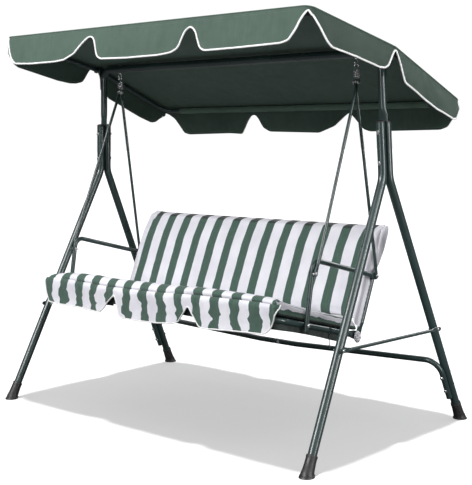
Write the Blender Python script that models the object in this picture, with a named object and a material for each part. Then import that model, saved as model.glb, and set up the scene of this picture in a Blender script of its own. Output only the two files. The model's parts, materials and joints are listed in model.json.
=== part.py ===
"""Garden swing bench with a tilting canopy.

Metres, +Z up. The bench faces -Y. The origin is on the ground, in the middle between the four feet.
Right is +X and left is -X, as seen from in front of the bench.
"""

import math

import bmesh
import bpy
from mathutils import Vector

X_AXIS = Vector((1, 0, 0))
Y_AXIS = Vector((0, 1, 0))
Z_AXIS = Vector((0, 0, 1))
GAP = 0.0003  # clearance where pieces meet

# Stand
FOOT_X = 0.816  # half distance between the side frames on the ground
FOOT_Y = 0.47  # half distance between front and rear feet
LEAN = 0.0484  # each side frame leans inwards by this much per metre of height
LEG_R = 0.016
TUBE_WALL = 0.0015
LEG_BEND_Z = 0.955  # above this the legs stand upright, side by side
LEG_TOP_Z = 1.153
LEG_BEND_R = 0.1
LEG_START = 0.0145  # the tube starts this far along the leg, inside its foot cap
MID_Y = 0.044  # the plane of the uprights, the beam and the springs
BLADE_HALF = 0.0025  # half thickness of an upright where it is pressed flat between the legs
LEG_BOLT_Z = (1.01, 1.118)
SOLE_R = 0.027
SOLE_H = 0.007
CAP_TOP = 0.075  # how far a foot cap reaches up the leg
BOLT_HOLE_R = 0.0034

# Beam and uprights
BEAM_Z = 1.4
BEAM_R = 0.016
BEAM_WALL = 0.0015
BEAM_HALF = 0.695
UPRIGHT_R = 0.014
UPRIGHT_BEND_R = 0.045
STUB_END_X = 0.6  # the upright's bent end reaches this far into the beam
BLADE_FOOT_Z = 0.962
BLADE_TOP_Z = 1.163
LUG_X = (0.7625, 0.7665)  # inner and outer face of the plate welded to an upright
LUG_FOOT_Z = 1.314
LUG_HALF = 0.012
BOSS_END_X = 0.7795
BOSS_R = 0.01

# Low braces
SIDE_BRACE_Z = (0.388, 0.375)  # at the front leg and at the rear leg
SIDE_BRACE_R = 0.006
SIDE_BRACE_BLADE = 0.002
REAR_BRACE_R = 0.011
REAR_BRACE_BEND_R = 0.06
REAR_BRACE_Z = 0.259
REAR_BRACE_SAG = 0.024
REAR_BRACE_FOOT_Z = 0.105
REAR_BRACE_BOLT_Z = (0.139, 0.192)
SPIGOT_R = 0.0088  # the left half is swaged to this radius and slides into the right half
JOINT_X = 0.01
SOCKET_END_X = -0.014
SPIGOT_END_X = 0.034

# Springs and hanger rods
SPRING_X = 0.644
WIRE_R = 0.0022
COIL_R = 0.0105
LOOP_R = 0.0085
COIL_TURNS = 4.25
COIL_PITCH = 0.0062
COIL_TOP_Z = 1.343
TOP_LOOP_Z = 1.358
LOW_LOOP_Z = 1.302
EYE_Z = 1.37
EYE_R = 0.0085
EYE_WIRE_R = 0.0025
SWING_Z = EYE_Z - EYE_R + EYE_WIRE_R + WIRE_R + GAP
HANG_Z = 1.3
HANGER_BOLT_R = 0.004
ROD_R = 0.006
ROD_WALL = 0.001
ROD_BLADE = 0.002
ROD_SPREAD = 0.0047  # each rod's upper end stands this far from the middle of the spring
ROD_OVERHANG = 0.009  # the flattened ends run on past their bolts
ROD_STANDOFF = 0.0085  # a front rod's lower end stands off the armrest's post by this much, on a spacer

# Bench
SEAT_FRONT = (-0.395, 0.4933)  # y and z of the front rail
SEAT_SLOPE = math.atan(0.272)
CORNER_Y = 0.053  # where seat and backrest meet
RECLINE = math.atan(0.434)
BACK_LENGTH = 0.394
RAIL_R = 0.011
RAIL_BEND_R = 0.05
SEAT_RAIL_X = 0.6325
BACK_RAIL_X = 0.6373
RAIL_BLADE = 0.0022
REAR_RAIL_END = 0.63
ARM_R = 0.009
ARM_X = SEAT_RAIL_X + RAIL_R + ARM_R + GAP
ARM_BLADE = 0.002
ARM_SLOPE = 0.273
ARM_FRONT_Y = -0.222
ARM_BEND_R = 0.035
POST_FOOT = (-0.2665, 0.436)
POST_BOLT_Z = 0.456
FRONT_ROD_Z = 0.634
REAR_ROD_Z = 0.583
SLING_X = 0.578
SLING_RISE = 0.0125  # middle of the sling above the middle of the rails
SLING_HALF = 0.001
CUSHION_X = 0.642
CUSHION_LOW = 0.0165
CUSHION_HIGH = 0.062  # at the front
CUSHION_REAR_HIGH = 0.048
CUSHION_FRONT = -0.0145  # where the rounded front edge has its middle, along the seat
SKIRT_Y = (-0.4155, -0.4115)  # outer and inner face of the seat cushion's skirt
SKIRT_BOTTOM_Z = 0.429
SKIRT_APEX_Z = 0.497
SKIRT_NOTCH_X = 0.21
SKIRT_NOTCH_HALF = 0.075
BACK_CUSHION_FOOT = 0.05
BACK_CUSHION_FACE = 0.05
HOOD_INNER = 0.0155
HOOD_OUTER = 0.035
FLAP_LENGTH = 0.07
FLAP_THICK = 0.008

# Canopy
CANOPY_X = 0.8135
CANOPY_FRONT = (-0.424, 1.53)
CANOPY_REAR = (0.468, 1.226)
CANOPY_HIP_Z = 1.416  # over the pivot, at the side edges
CANOPY_CROWN = 0.0145  # the roof is this much higher over the middle of the beam
CANOPY_CORNER_R = 0.04
CANOPY_THICK = 0.002
SIDE_ARM_X = 0.79
SIDE_ARM_R = 0.0095
SIDE_ARM_BEND_R = 0.06
SIDE_ARM_END_X = 0.66
BAR_R = 0.011
BAR_WALL = 0.0011
BAR_HALF = 0.722
FRONT_BAR = (-0.405, 1.511)
REAR_BAR = (0.45, 1.216)
KNOB_R = 0.0122
STUD_TIP_X = 0.757
VALANCE_SIDE_DROP = 0.105
VALANCE_END_DROP = 0.119
VALANCE_NOTCH_DROP = 0.028
VALANCE_FLARE = 0.026
VALANCE_NOTCH_X = 0.27
NOTCH_HALF = 0.08


# ---------------------------------------------------------------- materials


FINISHES = {
    "frame_paint": ((0.022, 0.046, 0.043), 0.3, 0.4),
    "canopy_fabric": ((0.05, 0.1, 0.07), 0.85, 0.0),
    "stripe_fabric": ((0.45, 0.5, 0.47), 0.85, 0.0),
    "sling_fabric": ((0.02, 0.03, 0.03), 0.9, 0.0),
    "zinc_steel": ((0.75, 0.76, 0.78), 0.25, 1.0),
    "black_plastic": ((0.012, 0.012, 0.013), 0.45, 0.0),
}


def finish(slot):
    material = bpy.data.materials.get(slot)
    if material is None:
        colour, roughness, metallic = FINISHES[slot]
        material = bpy.data.materials.new(slot)
        material.use_nodes = True
        shader = material.node_tree.nodes["Principled BSDF"]
        shader.inputs["Base Color"].default_value = (*colour, 1)
        shader.inputs["Roughness"].default_value = roughness
        shader.inputs["Metallic"].default_value = metallic
    return material


def clear_scene():
    for obj in list(bpy.data.objects):
        bpy.data.objects.remove(obj, do_unlink=True)


# ---------------------------------------------------------------- mesh tools


def add_object(name, bm, slot, pivot=(0, 0, 0)):
    """Makes a named object from bm, which is in world space. Its origin goes to pivot."""
    bmesh.ops.recalc_face_normals(bm, faces=bm.faces[:])
    bmesh.ops.translate(bm, verts=bm.verts[:], vec=-Vector(pivot))
    mesh = bpy.data.meshes.new(name)
    bm.to_mesh(mesh)
    bm.free()
    mesh.shade_smooth()
    mesh.set_sharp_from_angle(angle=math.radians(35))
    mesh.materials.append(finish(slot))
    obj = bpy.data.objects.new(name, mesh)
    obj.location = pivot
    bpy.context.scene.collection.objects.link(obj)
    return obj


def hide_helper(obj):
    obj.hide_render = True
    obj.display_type = "WIRE"


def add_boolean(target, other, operation):
    modifier = target.modifiers.new(operation.title(), "BOOLEAN")
    modifier.operation = operation
    modifier.solver = "EXACT"
    modifier.object = other
    hide_helper(other)


def ellipse(centre, wide_axis, thin_axis, wide, thin, count):
    """Points round an ellipse, wide along wide_axis and thin along thin_axis."""
    turn = 2 * math.pi / count
    return [
        centre + wide_axis * (wide * math.cos(turn * i)) + thin_axis * (thin * math.sin(turn * i))
        for i in range(count)
    ]


def bridge(bm, low, high):
    count = len(low)
    for i in range(count):
        j = (i + 1) % count
        bm.faces.new((low[i], low[j], high[j], high[i]))


def loft_into(bm, rings, closed=False):
    """Skins equal rings. A closed loft joins its last ring to its first; an open one gets two caps."""
    rows = [[bm.verts.new(point) for point in ring] for ring in rings]
    for low, high in zip(rows, rows[1:]):
        bridge(bm, low, high)
    if closed:
        bridge(bm, rows[-1], rows[0])
    else:
        bm.faces.new(rows[0])
        bm.faces.new(rows[-1])


def rounded_path(points, radius, steps=5):
    """The polyline with each inner corner turned into an arc. steps is for a quarter turn."""
    points = [Vector(point) for point in points]
    path = [points[0]]
    for before, corner, after in zip(points, points[1:], points[2:]):
        inward = (before - corner).normalized()
        outward = (after - corner).normalized()
        half = inward.angle(outward) / 2
        reach = radius / math.tan(half)
        centre = corner + (inward + outward).normalized() * (radius / math.sin(half))
        first = corner + inward * reach - centre
        last = corner + outward * reach - centre
        path += arc(centre, first, last, math.ceil(steps * first.angle(last) * 2 / math.pi))
    path.append(points[-1])
    return path


def arc(centre, first, last, steps):
    """Points from centre + first to centre + last, on a circle about the centre."""
    sweep = first.angle(last)
    points = []
    for i in range(steps + 1):
        part = i / steps
        before = math.sin(sweep * (1 - part)) / math.sin(sweep)
        after = math.sin(sweep * part) / math.sin(sweep)
        points.append(centre + first * before + last * after)
    return points


def with_stations(path, distances):
    """The path and the distance of each point from its start, with extra points at these distances."""
    lengths = [0.0]
    for a, b in zip(path, path[1:]):
        lengths.append(lengths[-1] + (b - a).length)
    stations = dict(zip(lengths, path))
    for place in distances:
        for a, b, start, end in zip(path, path[1:], lengths, lengths[1:]):
            if start + 0.0005 < place < end - 0.0005:
                stations[place] = a.lerp(b, (place - start) / (end - start))
    places = sorted(stations)
    return [stations[place] for place in places], places


def smooth(share):
    share = min(max(share, 0.0), 1.0)
    return share * share * (3 - 2 * share)


class TubeEnds:
    """How a tube's ends are shaped: pressed flat over a length, or swaged to a smaller radius at the far end."""

    def __init__(self, flats=(0, 0), blade=ROD_BLADE, taper=0.02, swage=None):
        self.flats = flats
        self.blade = blade
        self.taper = taper
        self.swage = swage

    def stations(self, total):
        places = []
        for flat, mirror in zip(self.flats, (False, True)):
            if flat:
                near = [0.004, flat, flat + self.taper]
                places += [total - place if mirror else place for place in near]
        if self.swage:
            length, _ = self.swage
            places += [total - length - 0.008, total - length]
        return places

    def share(self, place, total):
        """1 where the tube is flat, 0 where it is round, and a ramp between."""
        best = 0.0
        for flat, distance in zip(self.flats, (place, total - place)):
            if flat:
                best = max(best, smooth((flat + self.taper - distance) / self.taper))
        return best

    def at_tip(self, place, total):
        return (self.flats[0] and place == 0) or (self.flats[1] and place == total)

    def radius(self, radius, place, total):
        if self.swage:
            length, small = self.swage
            return small + (radius - small) * smooth((total - length - place) / 0.008)
        return radius


def tube_rings(path, normal, radius, count, ends, inset=0.0):
    """Rings round a path. Flat ends are thin along the normal."""
    total = with_stations(path, [])[1][-1]
    path, places = with_stations(path, ends.stations(total))
    rings = []
    for i, (point, place) in enumerate(zip(path, places)):
        into = (point - path[i - 1]).normalized() if i else Vector()
        out = (path[i + 1] - point).normalized() if i + 1 < len(path) else Vector()
        tangent = (into + out).normalized()
        thin_axis = (normal - tangent * normal.dot(tangent)).normalized()
        wide_axis = thin_axis.cross(tangent)
        share = ends.share(place, total)
        full = ends.radius(radius, place, total)
        wide = full * (1 + 0.42 * share) * (0.72 if ends.at_tip(place, total) else 1)
        thin = full + (ends.blade - full) * share
        rings.append(ellipse(point, wide_axis, thin_axis, wide - inset, thin - inset, count))
    return rings


def add_tube(name, path, normal, radius, wall=TUBE_WALL, count=12, pivot=(0, 0, 0), ends=None):
    """A hollow tube with open ends along the path."""
    ends = ends or TubeEnds()
    outer = tube_rings(path, normal, radius, count, ends)
    inner = tube_rings(path, normal, radius, count, ends, wall)
    bm = bmesh.new()
    loft_into(bm, outer + inner[::-1], closed=True)
    return add_object(name, bm, "frame_paint", pivot)


def turned_rings(base, axis, profile, count, hexagons=()):
    """Rings of a turned piece from (radius, distance along the axis); hexagons lists the six-sided ones."""
    axis = Vector(axis).normalized()
    across = axis.orthogonal().normalized()
    other = axis.cross(across)
    rings = []
    for i, (radius, distance) in enumerate(profile):
        centre = Vector(base) + axis * distance
        ring = ellipse(centre, across, other, radius, radius, count)
        if i in hexagons:
            flat = math.cos(math.pi / 6)
            ring = [centre + (p - centre) * (flat if k % 2 else 1) for k, p in enumerate(ring)]
        rings.append(ring)
    return rings


def add_turned(name, base, axis, profile, slot, count=12, pivot=(0, 0, 0), hexagons=()):
    bm = bmesh.new()
    loft_into(bm, turned_rings(base, axis, profile, count, hexagons))
    return add_object(name, bm, slot, pivot)


def add_bolt(name, base, axis, grip, radius=0.003, collar=None, pivot=(0, 0, 0)):
    """A hexagon bolt whose head rests at base, with a nut past its grip. collar is a spacer's (start, end)."""
    head = radius * 2.2
    profile = [(head * 0.6, -radius * 1.3), (head, -radius * 0.6), (head, -GAP), (radius, -GAP)]
    if collar:
        start, end = collar
        profile += [(radius, start), (head, start), (head, end), (radius, end)]
    nut = grip + GAP
    profile += [(radius, nut), (head, nut), (head, nut + radius * 1.7)]
    return add_turned(name, base, axis, profile, "zinc_steel", 6, pivot)


def drill(target, holes, radius=BOLT_HOLE_R):
    """Cuts round holes, each (point, axis, half length), through the target."""
    bm = bmesh.new()
    for point, axis, half in holes:
        loft_into(bm, turned_rings(point, axis, [(radius, -half), (radius, half)], 8))
    cutter = add_object(target.name + "_holes", bm, "zinc_steel")
    add_boolean(target, cutter, "DIFFERENCE")


def wire_rings(path, radius, count):
    """Rings round a curve in space, turned as little as possible from one to the next."""
    side = (path[1] - path[0]).orthogonal().normalized()
    rings = []
    for i, point in enumerate(path):
        before = path[max(i - 1, 0)]
        after = path[min(i + 1, len(path) - 1)]
        tangent = (after - before).normalized()
        side = (side - tangent * side.dot(tangent)).normalized()
        rings.append(ellipse(point, side, tangent.cross(side), radius, radius, count))
    return rings


def bezier(start, start_way, end, end_way, reach, steps):
    """Points between start and end, without those two, leaving along start_way and arriving along end_way."""
    a = start + start_way.normalized() * reach
    b = end - end_way.normalized() * reach
    points = []
    for i in range(1, steps):
        t = i / steps
        s = 1 - t
        points.append(start * s**3 + a * (3 * s * s * t) + b * (3 * s * t * t) + end * t**3)
    return points


# ---------------------------------------------------------------- places that several pieces share


def frame_x(z):
    """Distance of a leaning side frame's plane from the middle, at this height."""
    return FOOT_X - LEAN * z


def on_side(point, sign):
    x, y, z = point
    return Vector((sign * x, y, z))


def frame_normal(sign):
    return Vector((sign, 0, LEAN)).normalized()


def leg_points(end, sign):
    """Foot, bend and top of a leg's centre line. end is -1 for the front legs and 1 for the rear legs."""
    top_y = MID_Y + end * (LEG_R + BLADE_HALF + GAP)
    return (
        on_side((frame_x(0), end * FOOT_Y, 0), sign),
        on_side((frame_x(LEG_BEND_Z), top_y, LEG_BEND_Z), sign),
        on_side((frame_x(LEG_TOP_Z), top_y, LEG_TOP_Z), sign),
    )


def leg_at(end, sign, z):
    foot, bend, _ = leg_points(end, sign)
    return foot.lerp(bend, z / LEG_BEND_Z)


def rear_brace_way(sign):
    """Square to the rear leg, forwards: the brace lies on this side of it."""
    foot, bend, _ = leg_points(1, sign)
    way = (bend - foot).cross(frame_normal(sign)).normalized()
    return way if way.y < 0 else -way


SEAT_LENGTH = (CORNER_Y - SEAT_FRONT[0]) / math.cos(SEAT_SLOPE)
CORNER_Z = SEAT_FRONT[1] - SEAT_LENGTH * math.sin(SEAT_SLOPE)


def seat_point(x, along, above):
    """A point by the seat: along runs back from the front rail, above is square to the rails."""
    y = SEAT_FRONT[0] + along * math.cos(SEAT_SLOPE) + above * math.sin(SEAT_SLOPE)
    z = SEAT_FRONT[1] - along * math.sin(SEAT_SLOPE) + above * math.cos(SEAT_SLOPE)
    return Vector((x, y, z))


def back_point(x, up, ahead):
    """A point by the backrest: up runs up from the corner, ahead is square to its frame."""
    y = CORNER_Y + up * math.sin(RECLINE) - ahead * math.cos(RECLINE)
    z = CORNER_Z + up * math.cos(RECLINE) + ahead * math.sin(RECLINE)
    return Vector((x, y, z))


def back_height(x, z):
    """The point of the backrest's frame at this height."""
    return back_point(x, (z - CORNER_Z) / math.cos(RECLINE), 0)


def post_at(x, z):
    """The point of an armrest's front post at this height."""
    top_y, top_z = ARM_FRONT_Y, arm_height(ARM_FRONT_Y)
    share = (top_z - z) / (top_z - POST_FOOT[1])
    return Vector((x, top_y + (POST_FOOT[0] - top_y) * share, z))


def arm_height(y):
    rear = back_height(0, REAR_ROD_Z)
    return REAR_ROD_Z + ARM_SLOPE * (rear.y - y)


def hang_pivot(sign):
    return on_side((SPRING_X, MID_Y, HANG_Z), sign)


SIDES = (("left", -1), ("right", 1))
ENDS = (("front", -1), ("rear", 1))
BENCH_PIVOT = hang_pivot(-1)
CANOPY_PIVOT = Vector((0, MID_Y, BEAM_Z))


# ---------------------------------------------------------------- stand


def build_legs():
    for side, sign in SIDES:
        for place, end in ENDS:
            foot, bend, top = leg_points(end, sign)
            start = foot + (bend - foot).normalized() * LEG_START
            path = rounded_path((start, bend, top), LEG_BEND_R, 6)
            leg = add_tube(f"{place}_leg_{side}", path, frame_normal(sign), LEG_R)
            holes = [(on_side((frame_x(z), top.y, z), sign), Y_AXIS, 0.03) for z in LEG_BOLT_Z]
            if place == "rear":
                way = rear_brace_way(sign)
                holes += [(leg_at(end, sign, z), way, 0.03) for z in REAR_BRACE_BOLT_Z]
            else:
                add_leg_plug(f"leg_plug_{side}", bend, top)
            drill(leg, holes)
            add_foot_cap(f"foot_cap_{place}_{side}", foot, bend)


def add_foot_cap(name, foot, bend):
    """A sleeve round the foot of the leg, flared to a flat round sole on the ground."""
    axis = (bend - foot).normalized()
    side = (X_AXIS - axis * axis.x).normalized()
    across = side.cross(axis)
    count = 14

    def level_ring(z, radius):
        return ellipse(foot + axis * (z / axis.z), X_AXIS, -Y_AXIS, radius, radius, count)

    def square_ring(distance, radius):
        return ellipse(foot + axis * distance, side, across, radius, radius, count)

    pocket = LEG_R + 2.5 * GAP
    rings = [
        level_ring(0, SOLE_R),
        level_ring(SOLE_H, SOLE_R),
        square_ring(0.023, 0.0212),
        square_ring(0.05, 0.0194),
        square_ring(CAP_TOP - 0.002, 0.019),
        square_ring(CAP_TOP, 0.018),
        square_ring(CAP_TOP, pocket),
        square_ring(LEG_START - 2 * GAP, pocket),
    ]
    bm = bmesh.new()
    loft_into(bm, rings)
    add_object(name, bm, "black_plastic")


def add_leg_plug(name, bend, top):
    """A domed end plug pushed into the top of a front leg."""
    inner = LEG_R - TUBE_WALL - 0.0007
    profile = [
        (inner * 0.9, -0.014),
        (inner, -0.012),
        (inner, GAP),
        (LEG_R, GAP),
        (LEG_R, 0.0025),
        (LEG_R * 0.86, 0.006),
        (LEG_R * 0.5, 0.0085),
    ]
    add_turned(name, top, top - bend, profile, "black_plastic", 14)


def build_uprights():
    for side, sign in SIDES:
        foot = on_side((frame_x(BLADE_FOOT_Z), MID_Y, BLADE_FOOT_Z), sign)
        corner = on_side((frame_x(BEAM_Z), MID_Y, BEAM_Z), sign)
        stub = on_side((STUB_END_X, MID_Y, BEAM_Z), sign)
        path = rounded_path((foot, corner, stub), UPRIGHT_BEND_R, 6)
        ends = TubeEnds(flats=(BLADE_TOP_Z - BLADE_FOOT_Z, 0), blade=BLADE_HALF, taper=0.045)
        upright = add_tube(f"upright_{side}", path, Y_AXIS, UPRIGHT_R, ends=ends)
        add_boolean(upright, canopy_lug(side, sign), "UNION")
        holes = [(on_side((frame_x(z), MID_Y, z), sign), Y_AXIS, 0.02) for z in LEG_BOLT_Z]
        holes.append((on_side((SPRING_X, MID_Y, BEAM_Z), sign), Z_AXIS, 0.03))
        holes.append((on_side((BOSS_END_X, MID_Y, BEAM_Z), sign), X_AXIS, 0.03))
        drill(upright, holes)


def canopy_lug(side, sign):
    """The plate and boss welded to the outside of an upright, which the canopy turns on."""
    steps = 6
    outline = [(-LUG_HALF, LUG_FOOT_Z), (LUG_HALF, LUG_FOOT_Z)]
    for i in range(steps + 1):
        angle = math.pi * i / steps
        outline.append((LUG_HALF * math.cos(angle), BEAM_Z + LUG_HALF * math.sin(angle)))
    bm = bmesh.new()
    loft_into(bm, [[on_side((x, MID_Y + y, z), sign) for y, z in outline] for x in LUG_X])
    plate = add_object(f"lug_plate_{side}", bm, "frame_paint")
    middle_x = sum(LUG_X) / 2
    base = on_side((middle_x, MID_Y, BEAM_Z), sign)
    profile = [(BOSS_R, 0), (BOSS_R, BOSS_END_X - middle_x)]
    boss = add_turned(f"lug_boss_{side}", base, X_AXIS * sign, profile, "frame_paint", 14)
    add_boolean(plate, boss, "UNION")
    return plate


def build_beam():
    path = [Vector((sign * BEAM_HALF, MID_Y, BEAM_Z)) for sign in (-1, 1)]
    beam = add_tube("top_beam", path, Y_AXIS, BEAM_R, BEAM_WALL, 14)
    drill(beam, [(on_side((SPRING_X, MID_Y, BEAM_Z), sign), Z_AXIS, 0.03) for _, sign in SIDES])


def build_leg_bolts():
    reach = 2 * LEG_R + BLADE_HALF + GAP
    for side, sign in SIDES:
        for z, place in zip(LEG_BOLT_Z, ("lower", "upper")):
            base = on_side((frame_x(z), MID_Y - reach, z), sign)
            add_bolt(f"leg_bolt_{place}_{side}", base, Y_AXIS, 2 * reach)


def build_side_braces():
    for side, sign in SIDES:
        normal = frame_normal(sign)
        out = normal * (LEG_R + SIDE_BRACE_BLADE + GAP)
        front, rear = (leg_at(end, sign, z) + out for end, z in zip((-1, 1), SIDE_BRACE_Z))
        overhang = (rear - front).normalized() * 0.02
        ends = TubeEnds(flats=(0.045, 0.045), blade=SIDE_BRACE_BLADE)
        path = [front - overhang, rear + overhang]
        brace = add_tube(f"side_brace_{side}", path, normal, SIDE_BRACE_R, 0.001, 8, ends=ends)
        drill(brace, [(point, normal, 0.01) for point in (front, rear)], 0.0028)


def build_rear_brace():
    """Two halves that run down in front of the rear legs. The left one slides into the right one."""
    joint = None
    for side, sign in SIDES:
        way = rear_brace_way(sign)
        offset = way * (LEG_R + REAR_BRACE_R + GAP)
        foot = leg_at(1, sign, REAR_BRACE_FOOT_Z) + offset
        corner = leg_at(1, sign, REAR_BRACE_Z) + offset
        low_z = corner.z - REAR_BRACE_SAG
        knee = Vector((sign * 0.1, corner.y, low_z))
        end_x = SPIGOT_END_X if side == "left" else SOCKET_END_X
        end = Vector((end_x, corner.y, low_z))
        joint = Vector((JOINT_X, corner.y, low_z))
        path = rounded_path((foot, corner, knee, end), REAR_BRACE_BEND_R, 4)
        swage = (SPIGOT_END_X - SOCKET_END_X + 0.001, SPIGOT_R) if side == "left" else None
        ends = TubeEnds(swage=swage)
        brace = add_tube(f"rear_brace_{side}", path, Y_AXIS, REAR_BRACE_R, count=10, ends=ends)
        holes = [(leg_at(1, sign, z) + offset, way, 0.02) for z in REAR_BRACE_BOLT_Z]
        drill(brace, holes + [(joint, Y_AXIS, 0.02)])
        for z, place in zip(REAR_BRACE_BOLT_Z, ("lower", "upper")):
            base = leg_at(1, sign, z) + offset + way * REAR_BRACE_R
            grip = 2 * (LEG_R + REAR_BRACE_R) + GAP
            add_bolt(f"rear_brace_bolt_{place}_{side}", base, -way, grip)
    base = joint - Y_AXIS * REAR_BRACE_R
    add_bolt("rear_brace_joint_bolt", base, Y_AXIS, 2 * REAR_BRACE_R)


def build_eye_bolts():
    for side, sign in SIDES:
        centre = on_side((SPRING_X, MID_Y, EYE_Z), sign)
        count = 14
        rings = []
        for i in range(count):
            angle = 2 * math.pi * i / count
            way = Y_AXIS * math.cos(angle) + Z_AXIS * math.sin(angle)
            rings.append(ellipse(centre + way * EYE_R, way, X_AXIS, EYE_WIRE_R, EYE_WIRE_R, 6))
        bm = bmesh.new()
        loft_into(bm, rings, closed=True)
        eye = add_object(f"eye_ring_{side}", bm, "zinc_steel")
        under = BEAM_Z - BEAM_R - EYE_Z
        over = BEAM_Z + BEAM_R - EYE_Z + GAP
        profile = [
            (0.0024, EYE_R),
            (0.0024, under - 0.0035),
            (0.007, under - 0.0035),
            (0.007, under - 0.0005),
            (0.003, under - 0.0005),
            (0.003, over),
            (0.0062, over),
            (0.0062, over + 0.0018),
            (0.0042, over + 0.0031),
        ]
        bolt = add_turned(f"eye_bolt_{side}", centre, Z_AXIS, profile, "zinc_steel", 12, (0, 0, 0), (6, 7))
        add_boolean(bolt, eye, "UNION")


# ---------------------------------------------------------------- springs and hanger rods


def spring_path(centre):
    """The wire's centre line: top loop across the beam, coil, and bottom loop in line with the beam's axis."""
    start = math.radians(-30)
    top = Vector((centre.x, centre.y, TOP_LOOP_Z))
    low = Vector((centre.x, centre.y, LOW_LOOP_Z))
    path = []
    for degrees in range(-40, 231, 18):
        angle = math.radians(degrees)
        path.append(top + (X_AXIS * math.cos(angle) + Z_AXIS * math.sin(angle)) * LOOP_R)
    leaving = -X_AXIS * math.sin(math.radians(230)) + Z_AXIS * math.cos(math.radians(230))

    def coil(angle):
        drop = (angle - start) / (2 * math.pi) * COIL_PITCH
        level = Vector((centre.x, centre.y, COIL_TOP_Z - drop))
        return level + (X_AXIS * math.cos(angle) + Y_AXIS * math.sin(angle)) * COIL_R

    def coil_way(angle):
        return -X_AXIS * math.sin(angle) + Y_AXIS * math.cos(angle) - Z_AXIS * 0.1

    path += bezier(path[-1], leaving, coil(start), coil_way(start), 0.006, 4)
    steps = round(COIL_TURNS * 12)
    end = start + COIL_TURNS * 2 * math.pi
    path += [coil(start + (end - start) * i / steps) for i in range(steps + 1)]
    first = math.radians(130)
    entry = low + (Y_AXIS * math.cos(first) + Z_AXIS * math.sin(first)) * LOOP_R
    entering = -Y_AXIS * math.sin(first) + Z_AXIS * math.cos(first)
    path += bezier(path[-1], coil_way(end), entry, entering, 0.006, 4)
    for degrees in range(130, 391, 20):
        angle = math.radians(degrees)
        path.append(low + (Y_AXIS * math.cos(angle) + Z_AXIS * math.sin(angle)) * LOOP_R)
    return path


def build_springs():
    for side, sign in SIDES:
        pivot = on_side((SPRING_X, MID_Y, SWING_Z), sign)
        bm = bmesh.new()
        loft_into(bm, wire_rings(spring_path(pivot), WIRE_R, 6))
        add_object(f"spring_{side}", bm, "zinc_steel", pivot)


def rod_foot(place, sign):
    """Centre of a rod's lower bolt hole."""
    if place == "front":
        out = ARM_X + ARM_R + ROD_STANDOFF
        return on_side(post_at(out, FRONT_ROD_Z), sign)
    out = ARM_X + ARM_BLADE + GAP + ROD_BLADE
    return on_side(back_height(out, REAR_ROD_Z), sign)


def build_hangers():
    for side, sign in SIDES:
        pivot = hang_pivot(sign)
        reach = ROD_SPREAD + ROD_BLADE
        base = pivot + X_AXIS * (sign * reach)
        add_bolt(f"hanger_bolt_{side}", base, -X_AXIS * sign, 2 * reach, HANGER_BOLT_R, pivot=pivot)
        for place, spread in (("front", ROD_SPREAD), ("rear", -ROD_SPREAD)):
            top = pivot + X_AXIS * (sign * spread)
            foot = rod_foot(place, sign)
            overhang = (foot - top).normalized() * ROD_OVERHANG
            ends = TubeEnds(flats=(0.03, 0.03), blade=ROD_BLADE)
            path = [top - overhang, foot + overhang]
            rod = add_tube(f"hanger_rod_{place}_{side}", path, X_AXIS, ROD_R, ROD_WALL, 8, BENCH_PIVOT, ends)
            drill(rod, [(top, X_AXIS, 0.01)], 0.0045)
            drill(rod, [(foot, X_AXIS, 0.01)])


# ---------------------------------------------------------------- bench


def build_seat_frame():
    """A U of tube: two side rails and the front rail. Its flattened rear ends are bolted to the rear rail."""
    beyond = 0.013
    points = [
        seat_point(-SEAT_RAIL_X, SEAT_LENGTH + beyond, 0),
        seat_point(-SEAT_RAIL_X, 0, 0),
        seat_point(SEAT_RAIL_X, 0, 0),
        seat_point(SEAT_RAIL_X, SEAT_LENGTH + beyond, 0),
    ]
    add_rail_loop("seat_frame", points, SEAT_RAIL_X)


def build_back_frame():
    """An upside-down U of tube with flattened lower ends, outside the seat frame's ends."""
    beyond = -0.013
    points = [
        back_point(-BACK_RAIL_X, beyond, 0),
        back_point(-BACK_RAIL_X, BACK_LENGTH, 0),
        back_point(BACK_RAIL_X, BACK_LENGTH, 0),
        back_point(BACK_RAIL_X, beyond, 0),
    ]
    add_rail_loop("back_frame", points, BACK_RAIL_X)


def add_rail_loop(name, points, half_width):
    """A U-shaped rail. The side it turns in is also the side its ends are thin across."""
    path = rounded_path(points, RAIL_BEND_R, 5)
    way = (points[1] - points[0]).normalized()
    square = way.cross(X_AXIS).normalized()
    flat, taper = 0.034, 0.03
    ends = TubeEnds(flats=(flat, flat), blade=RAIL_BLADE, taper=taper)
    outer = rail_rings(path, square, RAIL_R, ends, 0)
    inner = rail_rings(path, square, RAIL_R, ends, TUBE_WALL)
    bm = bmesh.new()
    loft_into(bm, outer + inner[::-1], closed=True)
    rail = add_object(name, bm, "frame_paint", BENCH_PIVOT)
    corner = back_point(0, 0, 0)
    holes = [(on_side(corner + X_AXIS * half_width, sign), X_AXIS, 0.006) for _, sign in SIDES]
    if name == "seat_frame":
        holes += [(on_side(post_bolt(), sign), X_AXIS, 0.03) for _, sign in SIDES]
    else:
        holes += [(on_side(back_height(half_width, REAR_ROD_Z), sign), X_AXIS, 0.03) for _, sign in SIDES]
    drill(rail, holes)


def rail_rings(path, square, radius, ends, inset):
    """Like tube_rings, with the flat ends wide along the given direction square to the bends' plane."""
    total = with_stations(path, [])[1][-1]
    path, places = with_stations(path, ends.stations(total))
    rings = []
    for i, (point, place) in enumerate(zip(path, places)):
        into = (point - path[i - 1]).normalized() if i else Vector()
        out = (path[i + 1] - point).normalized() if i + 1 < len(path) else Vector()
        thin_axis = (into + out).normalized().cross(square)
        share = ends.share(place, total)
        wide = radius * (1 + 0.42 * share) * (0.72 if ends.at_tip(place, total) else 1)
        thin = radius + (ends.blade - radius) * share
        rings.append(ellipse(point, square, thin_axis, wide - inset, thin - inset, 10))
    return rings


def post_bolt():
    return post_at(SEAT_RAIL_X, POST_BOLT_Z)


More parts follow.
